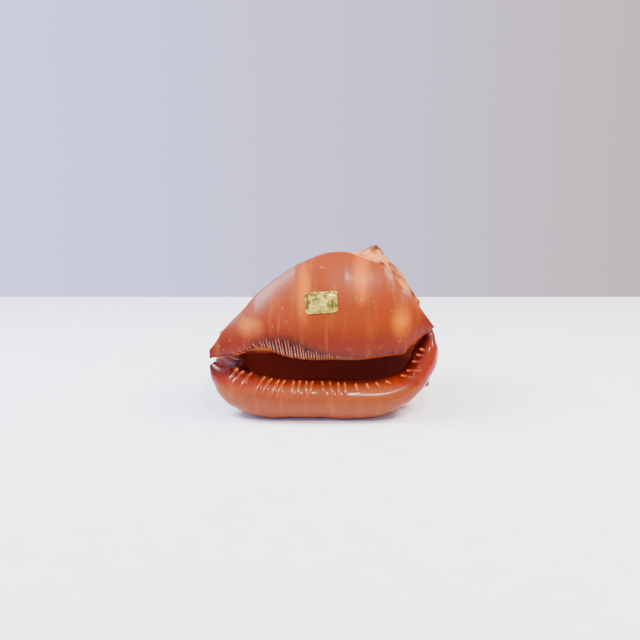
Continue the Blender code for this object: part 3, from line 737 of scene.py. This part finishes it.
def surface(values, name, keep):
    """Smooth-shaded surface of a field, thinned to a share of its faces."""
    limit = BAND * VOXEL
    grid = openvdb.FloatGrid(limit)
    grid.transform = openvdb.createLinearTransform(voxelSize=VOXEL)
    grid.copyFromArray(np.clip(values, -limit, limit), ijk=tuple(GRID_START), tolerance=1e-4)
    grid.gridClass = openvdb.GridClass.LEVEL_SET
    points, quads = grid.convertToQuads(0.0)
    ob = mesh_object(name + "_fine", points.astype(float), quads)
    thin = ob.modifiers.new("thin", "DECIMATE")
    thin.ratio = keep / (2 * len(quads))
    made = ob.evaluated_get(bpy.context.evaluated_depsgraph_get())
    mesh = bpy.data.meshes.new_from_object(made)
    mesh.name = name
    bpy.data.objects.remove(ob)
    out = bpy.data.objects.new(name, mesh)
    bpy.context.scene.collection.objects.link(out)
    outward(out)
    mesh.shade_smooth()
    soft = softened(values, 2)
    normals = gradient(soft, points_of(mesh))
    mesh.normals_split_custom_set_from_vertices(normals.tolist())
    return out


def shell_marks(ob, parts):
    """Numbers on the shell's vertices that tell the material where it is."""
    mesh = ob.data
    p = points_of(mesh)
    d, r, theta = axis_coordinates(p)
    xs, levels, depths, runs = SHIELD
    depth = p[:, 1] - look_up(depths, xs, levels, p[:, 0], p[:, 2])
    run = look_up(runs, xs, levels, p[:, 0], p[:, 2])
    on_shield = 1 - ease(sample(parts["shield"], p), 0.3, 1.6)
    front = on_shield * (1 - ease(depth, 0.6, 2.4))
    hollow = 1 - ease(sample(parts["hollow"], p), 0.3, 1.4)
    lip = 1 - ease(sample(parts["lip"], p), 0.2, 1.6)
    tooth = 1 - ease(sample(parts["teeth"], p), 0.0, 0.7)
    near = np.full(len(p), 99.0)
    for tip, lean, phi_root, phi_tip in TEETH:
        end = lip_point(tip, phi_tip, TOOTH_RISE)
        near = np.minimum(near, np.linalg.norm(p - end, axis=1))
    side = 1 - ease(sample(parts["side"], p), 0.2, 2.0)
    mark(mesh, "front", front)
    mark(mesh, "plate", on_shield)
    mark(mesh, "lip", lip * (1 - front))
    mark(mesh, "side", side)
    mark(mesh, "tooth", tooth)
    mark(mesh, "tip", tooth * (1 - ease(near, 0.8, 5.5)))
    mark(mesh, "hollow", hollow * (1 - lip))
    # Band along the shield's edge under the ridges, where the painted shade between them goes
    reach = spline(p[:, 0], PLICA_REACH_AT, PLICA_REACH)
    gap = 1 - ease(edge_distance(p), 0.50 * reach, 0.98 * reach)
    mark(mesh, "gap", gap * ease(p[:, 0], -60, -50) * (1 - ease(p[:, 0], 50, 58)))
    mark(mesh, "run", run)
    # Distance from the slit, for the painted shade near it
    mark(mesh, "mouth", np.minimum(mouth_distance(p), 60))
    mark(mesh, "along", d / LENGTH)
    mark(mesh, "turn", theta / 360)
    knob = np.zeros(len(p))
    depth_at = shoulder_depth(np.minimum(theta, LIP_ANGLE))
    u = (d - depth_at) / (LENGTH - depth_at)
    for place_u, count, high, phase, wide in KNOBS:
        wave = 0.5 + 0.5 * np.cos(np.radians(theta * count) + phase * 2 * math.pi)
        knob += wave ** 2.2 * np.exp(-((u - place_u) / (wide * 1.1)) ** 2)
    mark(mesh, "knob", np.clip(knob, 0, 1) * ease(theta, 50, 90))


SHIELD = shield_table()


def plica_step(x):
    return np.interp(x, PLICA_STEP_AT, PLICA_STEP)


def plica_places():
    x = PLICA_FROM
    while x < PLICA_TO:
        yield x
        x += float(plica_step(x))


def plica_rings(x, shift):
    """One fine ridge from behind the columella edge up the front of the shield."""
    reach = float(spline(x, PLICA_REACH_AT, PLICA_REACH)) * (1 + 0.16 * shift)
    lean = float(spline(x, RIDGE_LEAN_AT, RIDGE_LEAN))
    size = float(plica_step(x)) * 0.30
    k = np.linspace(-0.42, 1.0, 16)
    path = np.array([shield_skin(x + lean * max(v, 0) + 0.25 * shift * math.sin(5 * v), reach * v)
                     for v in k])
    swell = np.interp(k, (-0.42, -0.36, -0.28, -0.16, 0, 0.25, 0.7, 1.0),
                      (0.35, 1.05, 1.15, 0.85, 1.0, 0.95, 0.62, 0.12))
    sink = np.interp(k, (-0.42, 0.2, 0.7, 1.0), (0.05, 0.10, 0.30, 0.55))
    rings = bar_rings(path, size * swell, 8, (1.0, 0, 0))
    out = []
    for ring, s in zip(rings, sink):
        out.append(ring + np.array([0, s * size * 1.2, 0]))
    return out


def plicae():
    """Ridges along the columella edge, in one piece."""
    rng = np.random.default_rng(4)
    points, quads, triangles, ends, start = [], [], [], [], 0
    for x in plica_places():
        rings = plica_rings(x, float(rng.uniform(-1, 1)))
        p, q, t = loft(rings)
        points.append(p)
        quads.append(q + start)
        triangles.append(t + start)
        k = np.repeat(np.linspace(0, 1, len(rings)), len(rings[0]))
        ends.append(np.concatenate([k, [0, 1]]))
        start += len(p)
    ob = mesh_object("plicae", np.concatenate(points), np.concatenate(quads),
                     np.concatenate(triangles))
    mark(ob.data, "reach", np.concatenate(ends))
    outward(ob)
    return ob


def petal(a, b, angle, length, width, cup, rise):
    """Height of one petal over the panel, far below zero outside it."""
    turn = math.radians(angle)
    p = (a * math.cos(turn) + b * math.sin(turn)) / length
    q = (-a * math.sin(turn) + b * math.cos(turn)) / width
    spread = np.clip(p, 0.02, 1.2)
    outline = 0.35 + 0.75 * np.sqrt(np.clip(spread, 0, 1)) - 0.25 * spread ** 4
    side = q / outline
    inside = 1 - np.maximum(side ** 2, np.clip(p - 0.72, 0, 9) ** 2 * 12 + side ** 2 * 0.6)
    edge = np.clip(inside, 0, 1) ** 0.35
    ribs = 0.07 * np.cos(side * 9) * np.clip(p, 0, 1)
    curl = 0.30 * np.clip(p - 0.6, 0, 1) - 0.25 * (1 - side ** 2) * np.clip(p, 0, 1)
    high = rise * (0.45 + cup * np.clip(p, 0, 1) + curl + 0.12 * side) + ribs
    return np.where((inside > 0) & (p > -0.1), high * edge, -9.0)


def leaf(a, b, angle, distance, length, width):
    """Height of one leaf with a midrib, veins and a toothed edge."""
    turn = math.radians(angle)
    p = (a * math.cos(turn) + b * math.sin(turn) - distance) / length
    q = (-a * math.sin(turn) + b * math.cos(turn)) / width
    bend = q - 0.16 * (1 - p * p)
    notch = 1 + 0.10 * np.abs(np.sin((p - 0.2) * 11))
    outline = np.clip(1 - np.abs(p) ** 1.7, 0, 1) ** 0.85 * notch
    side = np.abs(bend) / np.maximum(outline, 1e-3)
    edge = np.clip(1 - side, 0, 1)
    fold = 0.95 * np.clip(side * (1.25 - side), 0, 1) ** 0.8
    veins = 0.13 * np.cos((p + side * 0.45) * 17)
    middle = 0.20 * np.exp(-(bend / 0.09) ** 2)
    high = 0.35 + fold + veins * side * 1.2 + middle
    return np.where((edge > 0) & (np.abs(p) < 1), high * np.clip(edge * 5, 0, 1) ** 0.5, -9.0)


def stem(a, b, angle, start, end, bow):
    """Height of a thin curved stem between two distances from the middle."""
    turn = math.radians(angle)
    p = a * math.cos(turn) + b * math.sin(turn)
    q = -a * math.sin(turn) + b * math.cos(turn)
    k = np.clip((p - start) / (end - start), 0, 1)
    off = np.abs(q - bow * np.sin(k * math.pi)) / 0.62
    inside = (off < 1) & (p > start) & (p < end)
    return np.where(inside, 0.75 * np.sqrt(np.clip(1 - off ** 2, 0, 1)), -9.0)


def relief(a, b):
    """Carved height over the panel, from the sunk ground up."""
    ground = -PANEL_SUNK + 0.05 * np.sin(a * 2.3 + 1.4 * np.sin(b * 0.9)) * np.sin(b * 2.1)
    shapes = []
    for angle, distance, length, width in LEAVES:
        bow = 0.9 if angle in (25, 207) else -0.9
        shapes.append(stem(a, b, angle, FLOWER_SIZE * 0.8, distance, bow))
        shapes.append(leaf(a, b, angle, distance, length, width) * 0.95)
        shapes.append(stem(a, b, angle + 27, FLOWER_SIZE * 0.8, distance - 2.5, 0.8))
        bud = math.radians(angle + 27)
        off = np.hypot(a - (distance - 1.6) * math.cos(bud), b - (distance - 1.6) * math.sin(bud))
        dome = 1.15 * np.sqrt(np.clip(1 - (off / 1.75) ** 2, 0, 1))
        shapes.append(np.where(off < 1.75, dome - 0.18 * np.cos(off * 7), -9.0))
    for count, length, width, cup, rise, turn in (
            (5, 10.9, 6.3, 0.55, 1.25, 18), (5, 7.6, 4.7, 0.55, 1.75, 54),
            (5, 4.9, 3.2, 0.45, 2.15, 18)):
        for i in range(count):
            shapes.append(petal(a, b, turn + i * 360 / count, length, width, cup, rise))
    high = shapes[0]
    for s in shapes[1:]:
        high = np.maximum(high, s)
    off = np.hypot(a, b)
    grains = 0.12 * np.cos(a * 6.5) * np.cos(b * 6.5)
    heart = np.where(off < 2.0, 2.15 - 0.10 * off ** 2 + grains, -9.0)
    high = np.maximum(high, heart)
    return np.maximum(ground, ground + np.minimum(high, 2.45))


def cameo():
    """Carved panel on the back with its rounded frame, a closed piece."""
    rim = PANEL_ALONG + 2 * FRAME_WIDE + 1.6
    tall = PANEL_ROUND + 2 * FRAME_WIDE + 1.6
    around = np.linspace(0, 2 * math.pi, CAMEO_AROUND, endpoint=False)
    k = np.concatenate([np.linspace(0.004, 0.86, CAMEO_ACROSS, endpoint=False),
                        np.linspace(0.86, 1.0, 34)])
    a = np.multiply.outer(k, np.cos(around)) * rim
    b = np.multiply.outer(k, np.sin(around)) * tall
    within = np.hypot(a / PANEL_ALONG, b / PANEL_ROUND)
    mean = 0.5 * (PANEL_ALONG + PANEL_ROUND)
    off = (within - 1) * mean
    mould = (off - (FRAME_WIDE + 0.4)) / (FRAME_WIDE + 0.15)
    frame_high = -0.25 + (FRAME_HIGH + 0.2) * np.sqrt(np.clip(1 - mould ** 2, 0, 1))
    bead_off = (off - (FRAME_WIDE + 0.4)) / 0.62
    beads = np.cos(np.arctan2(b / PANEL_ROUND, a / PANEL_ALONG) * 96)
    frame_high = frame_high - 0.16 * np.clip(1 - bead_off ** 2, 0, 1) * (0.5 - 0.5 * beads)
    high = relief(a, b)
    step = ease(off, -0.5, 0.35)
    high = high * (1 - step) + frame_high * step
    foot = ease(off, 2 * FRAME_WIDE + 0.4, 2 * FRAME_WIDE + 1.2)
    high = high * (1 - foot) - 0.9 * foot
    theta = PANEL_THETA - np.degrees(b / PANEL_RADIUS)
    d = PANEL_D + a
    base = flank_radius(theta, d)
    top = place(d, base + high, theta)
    low = place(d, base - 3.0, theta)[::-1]
    points, quads, triangles = loft(np.concatenate([top, low[:1], low[-1:]]))
    ob = mesh_object("cameo_relief", points, quads, triangles)
    tail = np.full(len(points) - high.size, -PANEL_SUNK)
    mark(ob.data, "height", np.concatenate([high.ravel(), tail]))
    mark(ob.data, "rim", np.concatenate([step.ravel(), tail * 0]))
    outward(ob)
    return ob


def label_skin(across, up, lift):
    """Places over the shield for the sticker's own coordinates."""
    tilt = math.radians(LABEL_TILT)
    x = LABEL_X + across * math.cos(tilt) - up * math.sin(tilt)
    z = LABEL_Z + across * math.sin(tilt) + up * math.cos(tilt)
    xs, levels, depths, _ = SHIELD
    y = look_up(depths, xs, levels, x, z)
    slope_x = (look_up(depths, xs, levels, x + 1, z) - look_up(depths, xs, levels, x - 1, z)) / 2
    slope_z = (look_up(depths, xs, levels, x, z + 1) - look_up(depths, xs, levels, x, z - 1)) / 2
    size = np.sqrt(1 + slope_x ** 2 + slope_z ** 2)
    return np.stack([x + lift * slope_x / size, y - lift / size, z + lift * slope_z / size], -1)


def label():
    """Blank foil sticker with rounded corners and soft creases."""
    rings, corner = 40, 1.5
    angles = np.linspace(0, 2 * math.pi, 144, endpoint=False)
    half_w, half_h = LABEL_WIDE / 2, LABEL_HIGH / 2
    power = 9.0
    reach = ((np.abs(np.cos(angles)) / half_w) ** power
             + (np.abs(np.sin(angles)) / half_h) ** power) ** (-1 / power)
    k = np.linspace(0.02, 1, rings)
    a = np.multiply.outer(k, reach * np.cos(angles))
    b = np.multiply.outer(k, reach * np.sin(angles))
    crease = (0.05 * np.abs(np.sin(0.35 * a + 0.9 * b + 0.5 * np.sin(0.5 * a)))
              + 0.04 * np.abs(np.sin(0.8 * a - 0.45 * b + 2.0))
              + 0.02 * np.sin(2.6 * b + 1.5 * np.sin(0.9 * a)))
    curl = 0.10 * ease(np.hypot(a / half_w, b / half_h), 1.0, 1.35)
    high = 0.34 + crease + curl
    top = label_skin(a, b, high)
    low = label_skin(a, b, high - 0.10)
    points, quads, triangles = loft(np.concatenate([top, low[::-1]]))
    ob = mesh_object("foil_sticker", points, quads, triangles)
    inset = np.multiply.outer(k, np.ones(len(angles)))
    mark(ob.data, "inset", np.concatenate([inset.ravel(), inset[::-1].ravel(), [0, 0]]))
    outward(ob)
    return ob


def srgb(r, g, b):
    """Screen colour 0-255 as the linear colour that the materials take."""
    c = np.array([r, g, b]) / 255
    c = np.where(c <= 0.04045, c / 12.92, ((c + 0.055) / 1.055) ** 2.4)
    return (float(c[0]), float(c[1]), float(c[2]), 1.0)


class Paint:
    """One material's nodes, with short names for the ones used most."""

    def __init__(self, name, **settings):
        self.mat = bpy.data.materials.new(name)
        self.mat.use_nodes = True
        self.tree = self.mat.node_tree
        self.shader = self.tree.nodes["Principled BSDF"]
        for key, value in settings.items():
            self.shader.inputs[key.replace("_", " ")].default_value = value
        coordinates = self.tree.nodes.new("ShaderNodeTexCoord").outputs["Object"]
        self.mm = self.scaled(coordinates, (1 / MM, 1 / MM, 1 / MM))
        split = self.node("ShaderNodeSeparateXYZ", {0: self.mm})
        self.x, self.y, self.z = split.outputs

    def node(self, kind, inputs, **settings):
        node = self.tree.nodes.new(kind)
        for key, value in settings.items():
            setattr(node, key, value)
        for key, value in inputs.items():
            if isinstance(value, bpy.types.NodeSocket):
                self.tree.links.new(value, node.inputs[key])
            else:
                node.inputs[key].default_value = value
        return node

    def scaled(self, vector, scale, move=(0, 0, 0)):
        return self.node("ShaderNodeMapping", {"Vector": vector, "Scale": scale,
                                               "Location": move}).outputs[0]

    def math(self, kind, a, b=0.0, c=0.0):
        return self.node("ShaderNodeMath", {0: a, 1: b, 2: c}, operation=kind).outputs[0]

    def level(self, value, low, high, start=0.0, end=1.0):
        """Smooth step of a value from one number to another."""
        inputs = {0: value, 1: low, 2: high, 3: start, 4: end}
        return self.node("ShaderNodeMapRange", inputs, interpolation_type="SMOOTHSTEP").outputs[0]

    def attribute(self, name):
        return self.node("ShaderNodeAttribute", {}, attribute_name=name).outputs["Fac"]

    def noise(self, vector, scale, detail=3.0, rough=0.5, bend=0.0):
        inputs = {"Vector": vector, "Scale": scale, "Detail": detail,
                  "Roughness": rough, "Distortion": bend}
        return self.node("ShaderNodeTexNoise", inputs).outputs[0]

    def mix(self, amount, a, b, kind="MIX"):
        node = self.node("ShaderNodeMix", {0: amount, 6: a, 7: b}, data_type="RGBA",
                         blend_type=kind)
        return node.outputs[2]

    def ramp(self, value, stops):
        """Colours along a value between 0 and 1."""
        node = self.node("ShaderNodeValToRGB", {0: value})
        node.color_ramp.interpolation = "EASE"
        while len(node.color_ramp.elements) < len(stops):
            node.color_ramp.elements.new(0.5)
        for element, (at, colour) in zip(node.color_ramp.elements, stops):
            element.position = at
            element.color = colour
        return node.outputs[0]

    def spot(self, x, z, at, size, warp, soft=0.9):
        """Soft oval patch: 1 in its middle, 0 outside it."""
        a = self.math("DIVIDE", self.math("SUBTRACT", x, at[0]), size[0])
        b = self.math("DIVIDE", self.math("SUBTRACT", z, at[1]), size[1])
        far = self.math("SQRT", self.math("ADD", self.math("MULTIPLY", a, a),
                                          self.math("MULTIPLY", b, b)))
        far = self.math("ADD", far, warp)
        return self.level(far, 1.0, 1.0 - soft)

    def finish(self, colour, rough, bump, strength, distance=0.0004):
        for socket, value in (("Base Color", colour), ("Roughness", rough)):
            if isinstance(value, bpy.types.NodeSocket):
                self.tree.links.new(value, self.shader.inputs[socket])
            else:
                self.shader.inputs[socket].default_value = value
        node = self.node("ShaderNodeBump", {"Strength": strength, "Distance": distance,
                                            "Height": bump})
        self.tree.links.new(node.outputs[0], self.shader.inputs["Normal"])
        return self.mat


def shell_paint():
    """Glossy salmon shield and lip, mottled back, dark red-brown inside."""
    p = Paint("shell_look", Specular_IOR_Level=0.14, Subsurface_Weight=0.10, Subsurface_Scale=0.004,
              Subsurface_Radius=(1.0, 0.35, 0.15), Coat_Weight=0.05, Coat_Roughness=0.12)
    front, plate, lip, side = (p.attribute(n) for n in ("front", "plate", "lip", "side"))
    tooth, hollow, gap, run = (p.attribute(n) for n in ("tooth", "hollow", "gap", "run"))
    along, turn, knob = (p.attribute(n) for n in ("along", "turn", "knob"))
    broad = p.noise(p.mm, 0.045, 3.0, 0.55)
    fine = p.noise(p.mm, 0.35, 4.0, 0.6)
    streak = p.noise(p.scaled(p.mm, (1.0, 0.25, 0.12)), 0.22, 3.0, 0.6)
    warp = p.math("MULTIPLY", p.math("SUBTRACT", broad, 0.5), 0.9)
    warp = p.math("ADD", warp, p.math("MULTIPLY", p.math("SUBTRACT", streak, 0.5), 0.5))

    x = p.math("ADD", p.x, p.math("MULTIPLY", warp, 5.0))
    across = p.math("DIVIDE", p.math("ADD", x, 78.0), 156.0)
    shield = p.ramp(across, [((px - 209) / 230, srgb(*c)) for px, c in SHIELD_BANDS])
    for at, size, colour, amount, soft in SHIELD_PATCHES:
        spot = p.math("MULTIPLY", p.spot(x, p.z, at, size, warp, soft), amount)
        shield = p.mix(spot, shield, srgb(*colour))
    # Darker towards the columella edge: partly the shield's own deep red-brown, partly painted
    # shade of its lower part
    low = p.math("MULTIPLY", p.level(run, 30.0, 5.0), 0.92)
    shield = p.mix(low, shield, srgb(*SHIELD_LOW_AND_SHADE))
    shield = p.mix(p.math("MULTIPLY", p.level(streak, 0.5, 0.8), 0.10), shield,
                   srgb(255, 163, 30))
    shield = p.mix(p.math("MULTIPLY", p.level(fine, 0.62, 0.72), 0.10), shield,
                   srgb(255, 200, 90))
    # Painted shade: near black between the ridges along the columella edge
    shield = p.mix(p.math("MULTIPLY", gap, 0.95), shield, srgb(*PLICA_GAP_SHADE))

    lip_x = p.math("DIVIDE", p.math("ADD", x, 78.0), 156.0)
    rolled = p.ramp(lip_x, [((px - 209) / 230, srgb(*c)) for px, c in LIP_BANDS])
    inner = p.level(p.y, -33.0, -21.0)
    inner = p.math("MAXIMUM", inner, p.level(p.z, 21.5, 26.0))
    rolled = p.mix(p.math("MULTIPLY", inner, 0.85), rolled, srgb(*LIP_INNER))
    # Painted shade: the lip turns dark maroon near the slit
    rolled = p.mix(p.level(p.attribute("mouth"), 14.0, 7.0), rolled, srgb(*MAROON_SLIT_SHADE))
    rolled = p.mix(p.math("MULTIPLY", p.level(streak, 0.5, 0.8), 0.12), rolled,
                   srgb(223, 115, 30))

    growth = p.math("SINE", p.math("MULTIPLY", turn, 420.0))
    blotch = p.noise(p.scaled(p.mm, (1.0, 1.0, 1.0)), 0.075, 4.0, 0.62, 0.4)
    blotch = p.math("ADD", blotch, p.math("MULTIPLY", knob, 0.16))
    blotch = p.math("ADD", blotch, p.math("MULTIPLY", growth, 0.012))
    back = p.mix(p.level(blotch, 0.44, 0.62), srgb(*BACK_CREAM), srgb(*BACK_TAN))
    back = p.mix(p.level(blotch, 0.60, 0.70), back, srgb(*BACK_BROWN))
    back = p.mix(p.math("MULTIPLY", p.level(fine, 0.5, 0.7), 0.35), back, srgb(*BACK_TAN))
    back = p.mix(p.math("MULTIPLY", p.level(knob, 0.55, 0.95), 0.55), back, srgb(*KNOB_TIP))
    back = p.mix(p.math("MULTIPLY", side, 0.7), back, srgb(120, 46, 10))

    # The hollow grows paler deeper in, away from the opening: painted light inside it
    deep = p.level(p.y, -30.0, 2.0)
    inside = p.mix(deep, srgb(*INSIDE_NEAR), srgb(*INSIDE_DEEP_LIT))
    glow = p.spot(p.x, p.z, (-31.0, 38.0), (15.0, 8.0), warp, 1.0)
    inside = p.mix(p.math("MULTIPLY", glow, 0.9), inside, srgb(175, 60, 8))

    colour = p.mix(p.math("MAXIMUM", plate, 0.0), back, srgb(148, 69, 17))
    # Painted shade: everything near the slit between lip and shield turns dark maroon
    colour = p.mix(p.level(p.attribute("mouth"), 16.0, 10.0), colour, srgb(*MAROON_SLIT_SHADE))
    colour = p.mix(hollow, colour, inside)
    colour = p.mix(lip, colour, rolled)
    colour = p.mix(front, colour, shield)
    colour = p.mix(p.math("MULTIPLY", tooth, 0.55), colour, srgb(*TOOTH_SIDE))
    colour = p.mix(p.math("MULTIPLY", p.attribute("tip"), 0.85), colour, srgb(*TOOTH_COLOUR))
    bump = p.math("ADD", p.math("MULTIPLY", broad, 0.5), p.math("MULTIPLY", fine, 0.12))
    bump = p.math("ADD", bump, p.math("MULTIPLY", growth, 0.02))
    rough = p.level(fine, 0.2, 0.8, 0.34, 0.42)
    rough = p.math("SUBTRACT", rough, p.math("MULTIPLY", lip, 0.18))
    return p.finish(colour, rough, bump, 0.35)


def plica_paint():
    p = Paint("plica_look", Specular_IOR_Level=0.25, Subsurface_Weight=0.15, Subsurface_Scale=0.003,
              Subsurface_Radius=(1.0, 0.45, 0.3), Coat_Weight=0.2, Coat_Roughness=0.1)
    reach = p.attribute("reach")
    speck = p.noise(p.mm, 0.9, 3.0)
    colour = p.ramp(reach, [(0.0, srgb(184, 107, 92)), (0.3, srgb(175, 97, 70)),
                            (0.62, srgb(158, 67, 23)), (1.0, srgb(139, 43, 7))])
    colour = p.mix(p.math("MULTIPLY", p.level(speck, 0.5, 0.75), 0.35), colour,
                   srgb(240, 165, 124))
    return p.finish(colour, 0.22, speck, 0.15)


def cameo_paint():
    p = Paint("cameo_look", Subsurface_Weight=0.2, Subsurface_Scale=0.003,
              Subsurface_Radius=(1.0, 0.6, 0.4))
    height, rim = p.attribute("height"), p.attribute("rim")
    cloud = p.noise(p.mm, 0.09, 3.0)
    grain = p.noise(p.mm, 1.3, 4.0, 0.6)
    ground = p.mix(p.level(cloud, 0.35, 0.65), srgb(86, 33, 7), srgb(119, 52, 7))
    white = p.mix(p.level(cloud, 0.4, 0.7), srgb(250, 225, 165), srgb(242, 178, 100))
    lift = p.math("ADD", height, p.math("MULTIPLY", p.math("SUBTRACT", grain, 0.5), 0.5))
    colour = p.mix(p.level(lift, -1.15, -0.35), ground, white)
    border = p.mix(p.level(cloud, 0.42, 0.6), srgb(134, 71, 24), srgb(213, 137, 57))
    colour = p.mix(p.math("MULTIPLY", rim, 0.8), colour, border)
    return p.finish(colour, p.level(grain, 0.2, 0.8, 0.3, 0.46), grain, 0.25, 0.0002)


def foil_paint():
    p = Paint("foil_look", Metallic=0.92)
    inset = p.attribute("inset")
    cloud = p.noise(p.mm, 0.25, 3.0, 0.5, 0.5)
    grain = p.noise(p.mm, 2.2, 3.0)
    # Soft clouds of dark olive and bright gold: painted reflections and shade of the crinkled foil
    colour = p.mix(p.level(cloud, 0.38, 0.62), srgb(120, 104, 36), srgb(240, 215, 90))
    line = p.math("MULTIPLY", p.level(inset, 0.80, 0.84), p.level(inset, 0.92, 0.88))
    colour = p.mix(p.math("MULTIPLY", line, 0.35), colour, srgb(70, 58, 16))
    return p.finish(colour, p.level(grain, 0.3, 0.7, 0.18, 0.34), cloud, 0.5)


def floor_paint():
    p = Paint("floor_look", Roughness=0.55)
    grain = p.noise(p.mm, 0.05, 3.0)
    colour = p.mix(p.level(grain, 0.3, 0.7), srgb(240, 240, 244), srgb(246, 246, 250))
    return p.finish(colour, 0.55, grain, 0.02)


def lip_surface(s, phi):
    """Rolled lip with slight swellings along its outer wall."""
    p = lip_point(s, phi)
    wave = 0.30 * math.sin(s * 38 + 0.6) + 0.16 * math.sin(s * 83 + 2.0)
    return p + (lip_point(s, phi, 1.0) - p) * (wave * ease(np.cos(np.radians(phi)), 0.0, 1.0)
                                               - 0.3)[:, None]


def box_light(name, at, aim, size, power, colour):
    """Soft square light placed and aimed in the drawing's millimetres."""
    data = bpy.data.lights.new(name, "AREA")
    data.size = size * MM
    data.energy = power
    data.color = colour
    ob = bpy.data.objects.new(name, data)
    bpy.context.scene.collection.objects.link(ob)
    place_looking(ob, np.array(at, float), np.array(aim, float))
    return ob


def place_looking(ob, at, aim):
    """Puts an object at a drawing point with its -Z towards another."""
    back = unit(at - aim)
    right = unit(np.cross((0, 0, 1.0), back))
    over = np.cross(back, right)
    spot = (at - CENTRE) * MM
    ob.matrix_world = Matrix([[right[i], over[i], back[i], spot[i]] for i in range(3)]
                             + [[0, 0, 0, 1]])


def studio():
    """Floor, pale surroundings, lights and camera."""
    near, far, wide = -1500.0, FLOOR_FAR, 1600.0
    corners = np.array([(-wide, near), (wide, near), (wide, far), (-wide, far)])
    stack = [np.column_stack([corners, np.full(4, CENTRE[2] + h)]) for h in (-8.0, 0.0)]
    points, quads, triangles = loft(stack)
    floor = mesh_object("floor", points, quads, triangles)
    outward(floor)
    floor.data.shade_flat()
    floor.data.materials.append(floor_paint())
    world = bpy.data.worlds.new("surroundings")
    bpy.context.scene.world = world
    world.use_nodes = True
    tree = world.node_tree
    back = tree.nodes["Background"]
    back.inputs["Strength"].default_value = WORLD_STRENGTH
    coordinates = tree.nodes.new("ShaderNodeTexCoord")
    split = tree.nodes.new("ShaderNodeSeparateXYZ")
    tree.links.new(coordinates.outputs["Generated"], split.inputs[0])
    ramp = tree.nodes.new("ShaderNodeValToRGB")
    span = tree.nodes.new("ShaderNodeMapRange")
    span.inputs[1].default_value = -0.35
    span.inputs[2].default_value = 0.35
    tree.links.new(split.outputs[0], span.inputs[0])
    tree.links.new(span.outputs[0], ramp.inputs[0])
    ramp.color_ramp.elements[0].color = srgb(*WALL_LEFT)
    ramp.color_ramp.elements[1].color = srgb(*WALL_RIGHT)
    tree.links.new(ramp.outputs[0], back.inputs["Color"])
    for light in LIGHTS:
        box_light(*light)
    camera = bpy.data.objects.new("camera", bpy.data.cameras.new("camera"))
    bpy.context.scene.collection.objects.link(camera)
    camera.data.lens = LENS
    camera.data.sensor_width = 36.0
    camera.data.clip_start = 0.01
    camera.data.clip_end = 20.0
    tilt = math.radians(VIEW_ELEVATION)
    at = VIEW_TARGET + VIEW_DISTANCE * np.array([0, -math.cos(tilt), math.sin(tilt)])
    place_looking(camera, at, VIEW_TARGET)
    bpy.context.scene.camera = camera


def main():
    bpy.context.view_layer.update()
    parts, values = build_fields()
    shell = surface(values, "shell_surface", SHELL_FACES)
    shell_marks(shell, parts)
    shell.data.materials.append(shell_paint())
    ridges = plicae()
    ridges.data.materials.append(plica_paint())
    carving = cameo()
    carving.data.materials.append(cameo_paint())
    sticker = label()
    sticker.data.materials.append(foil_paint())
    for ob in (shell, ridges, carving):
        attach(ob, "root")
    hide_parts("shell")
    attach(sticker, "root")
    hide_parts("foil_label")
    studio()


main()
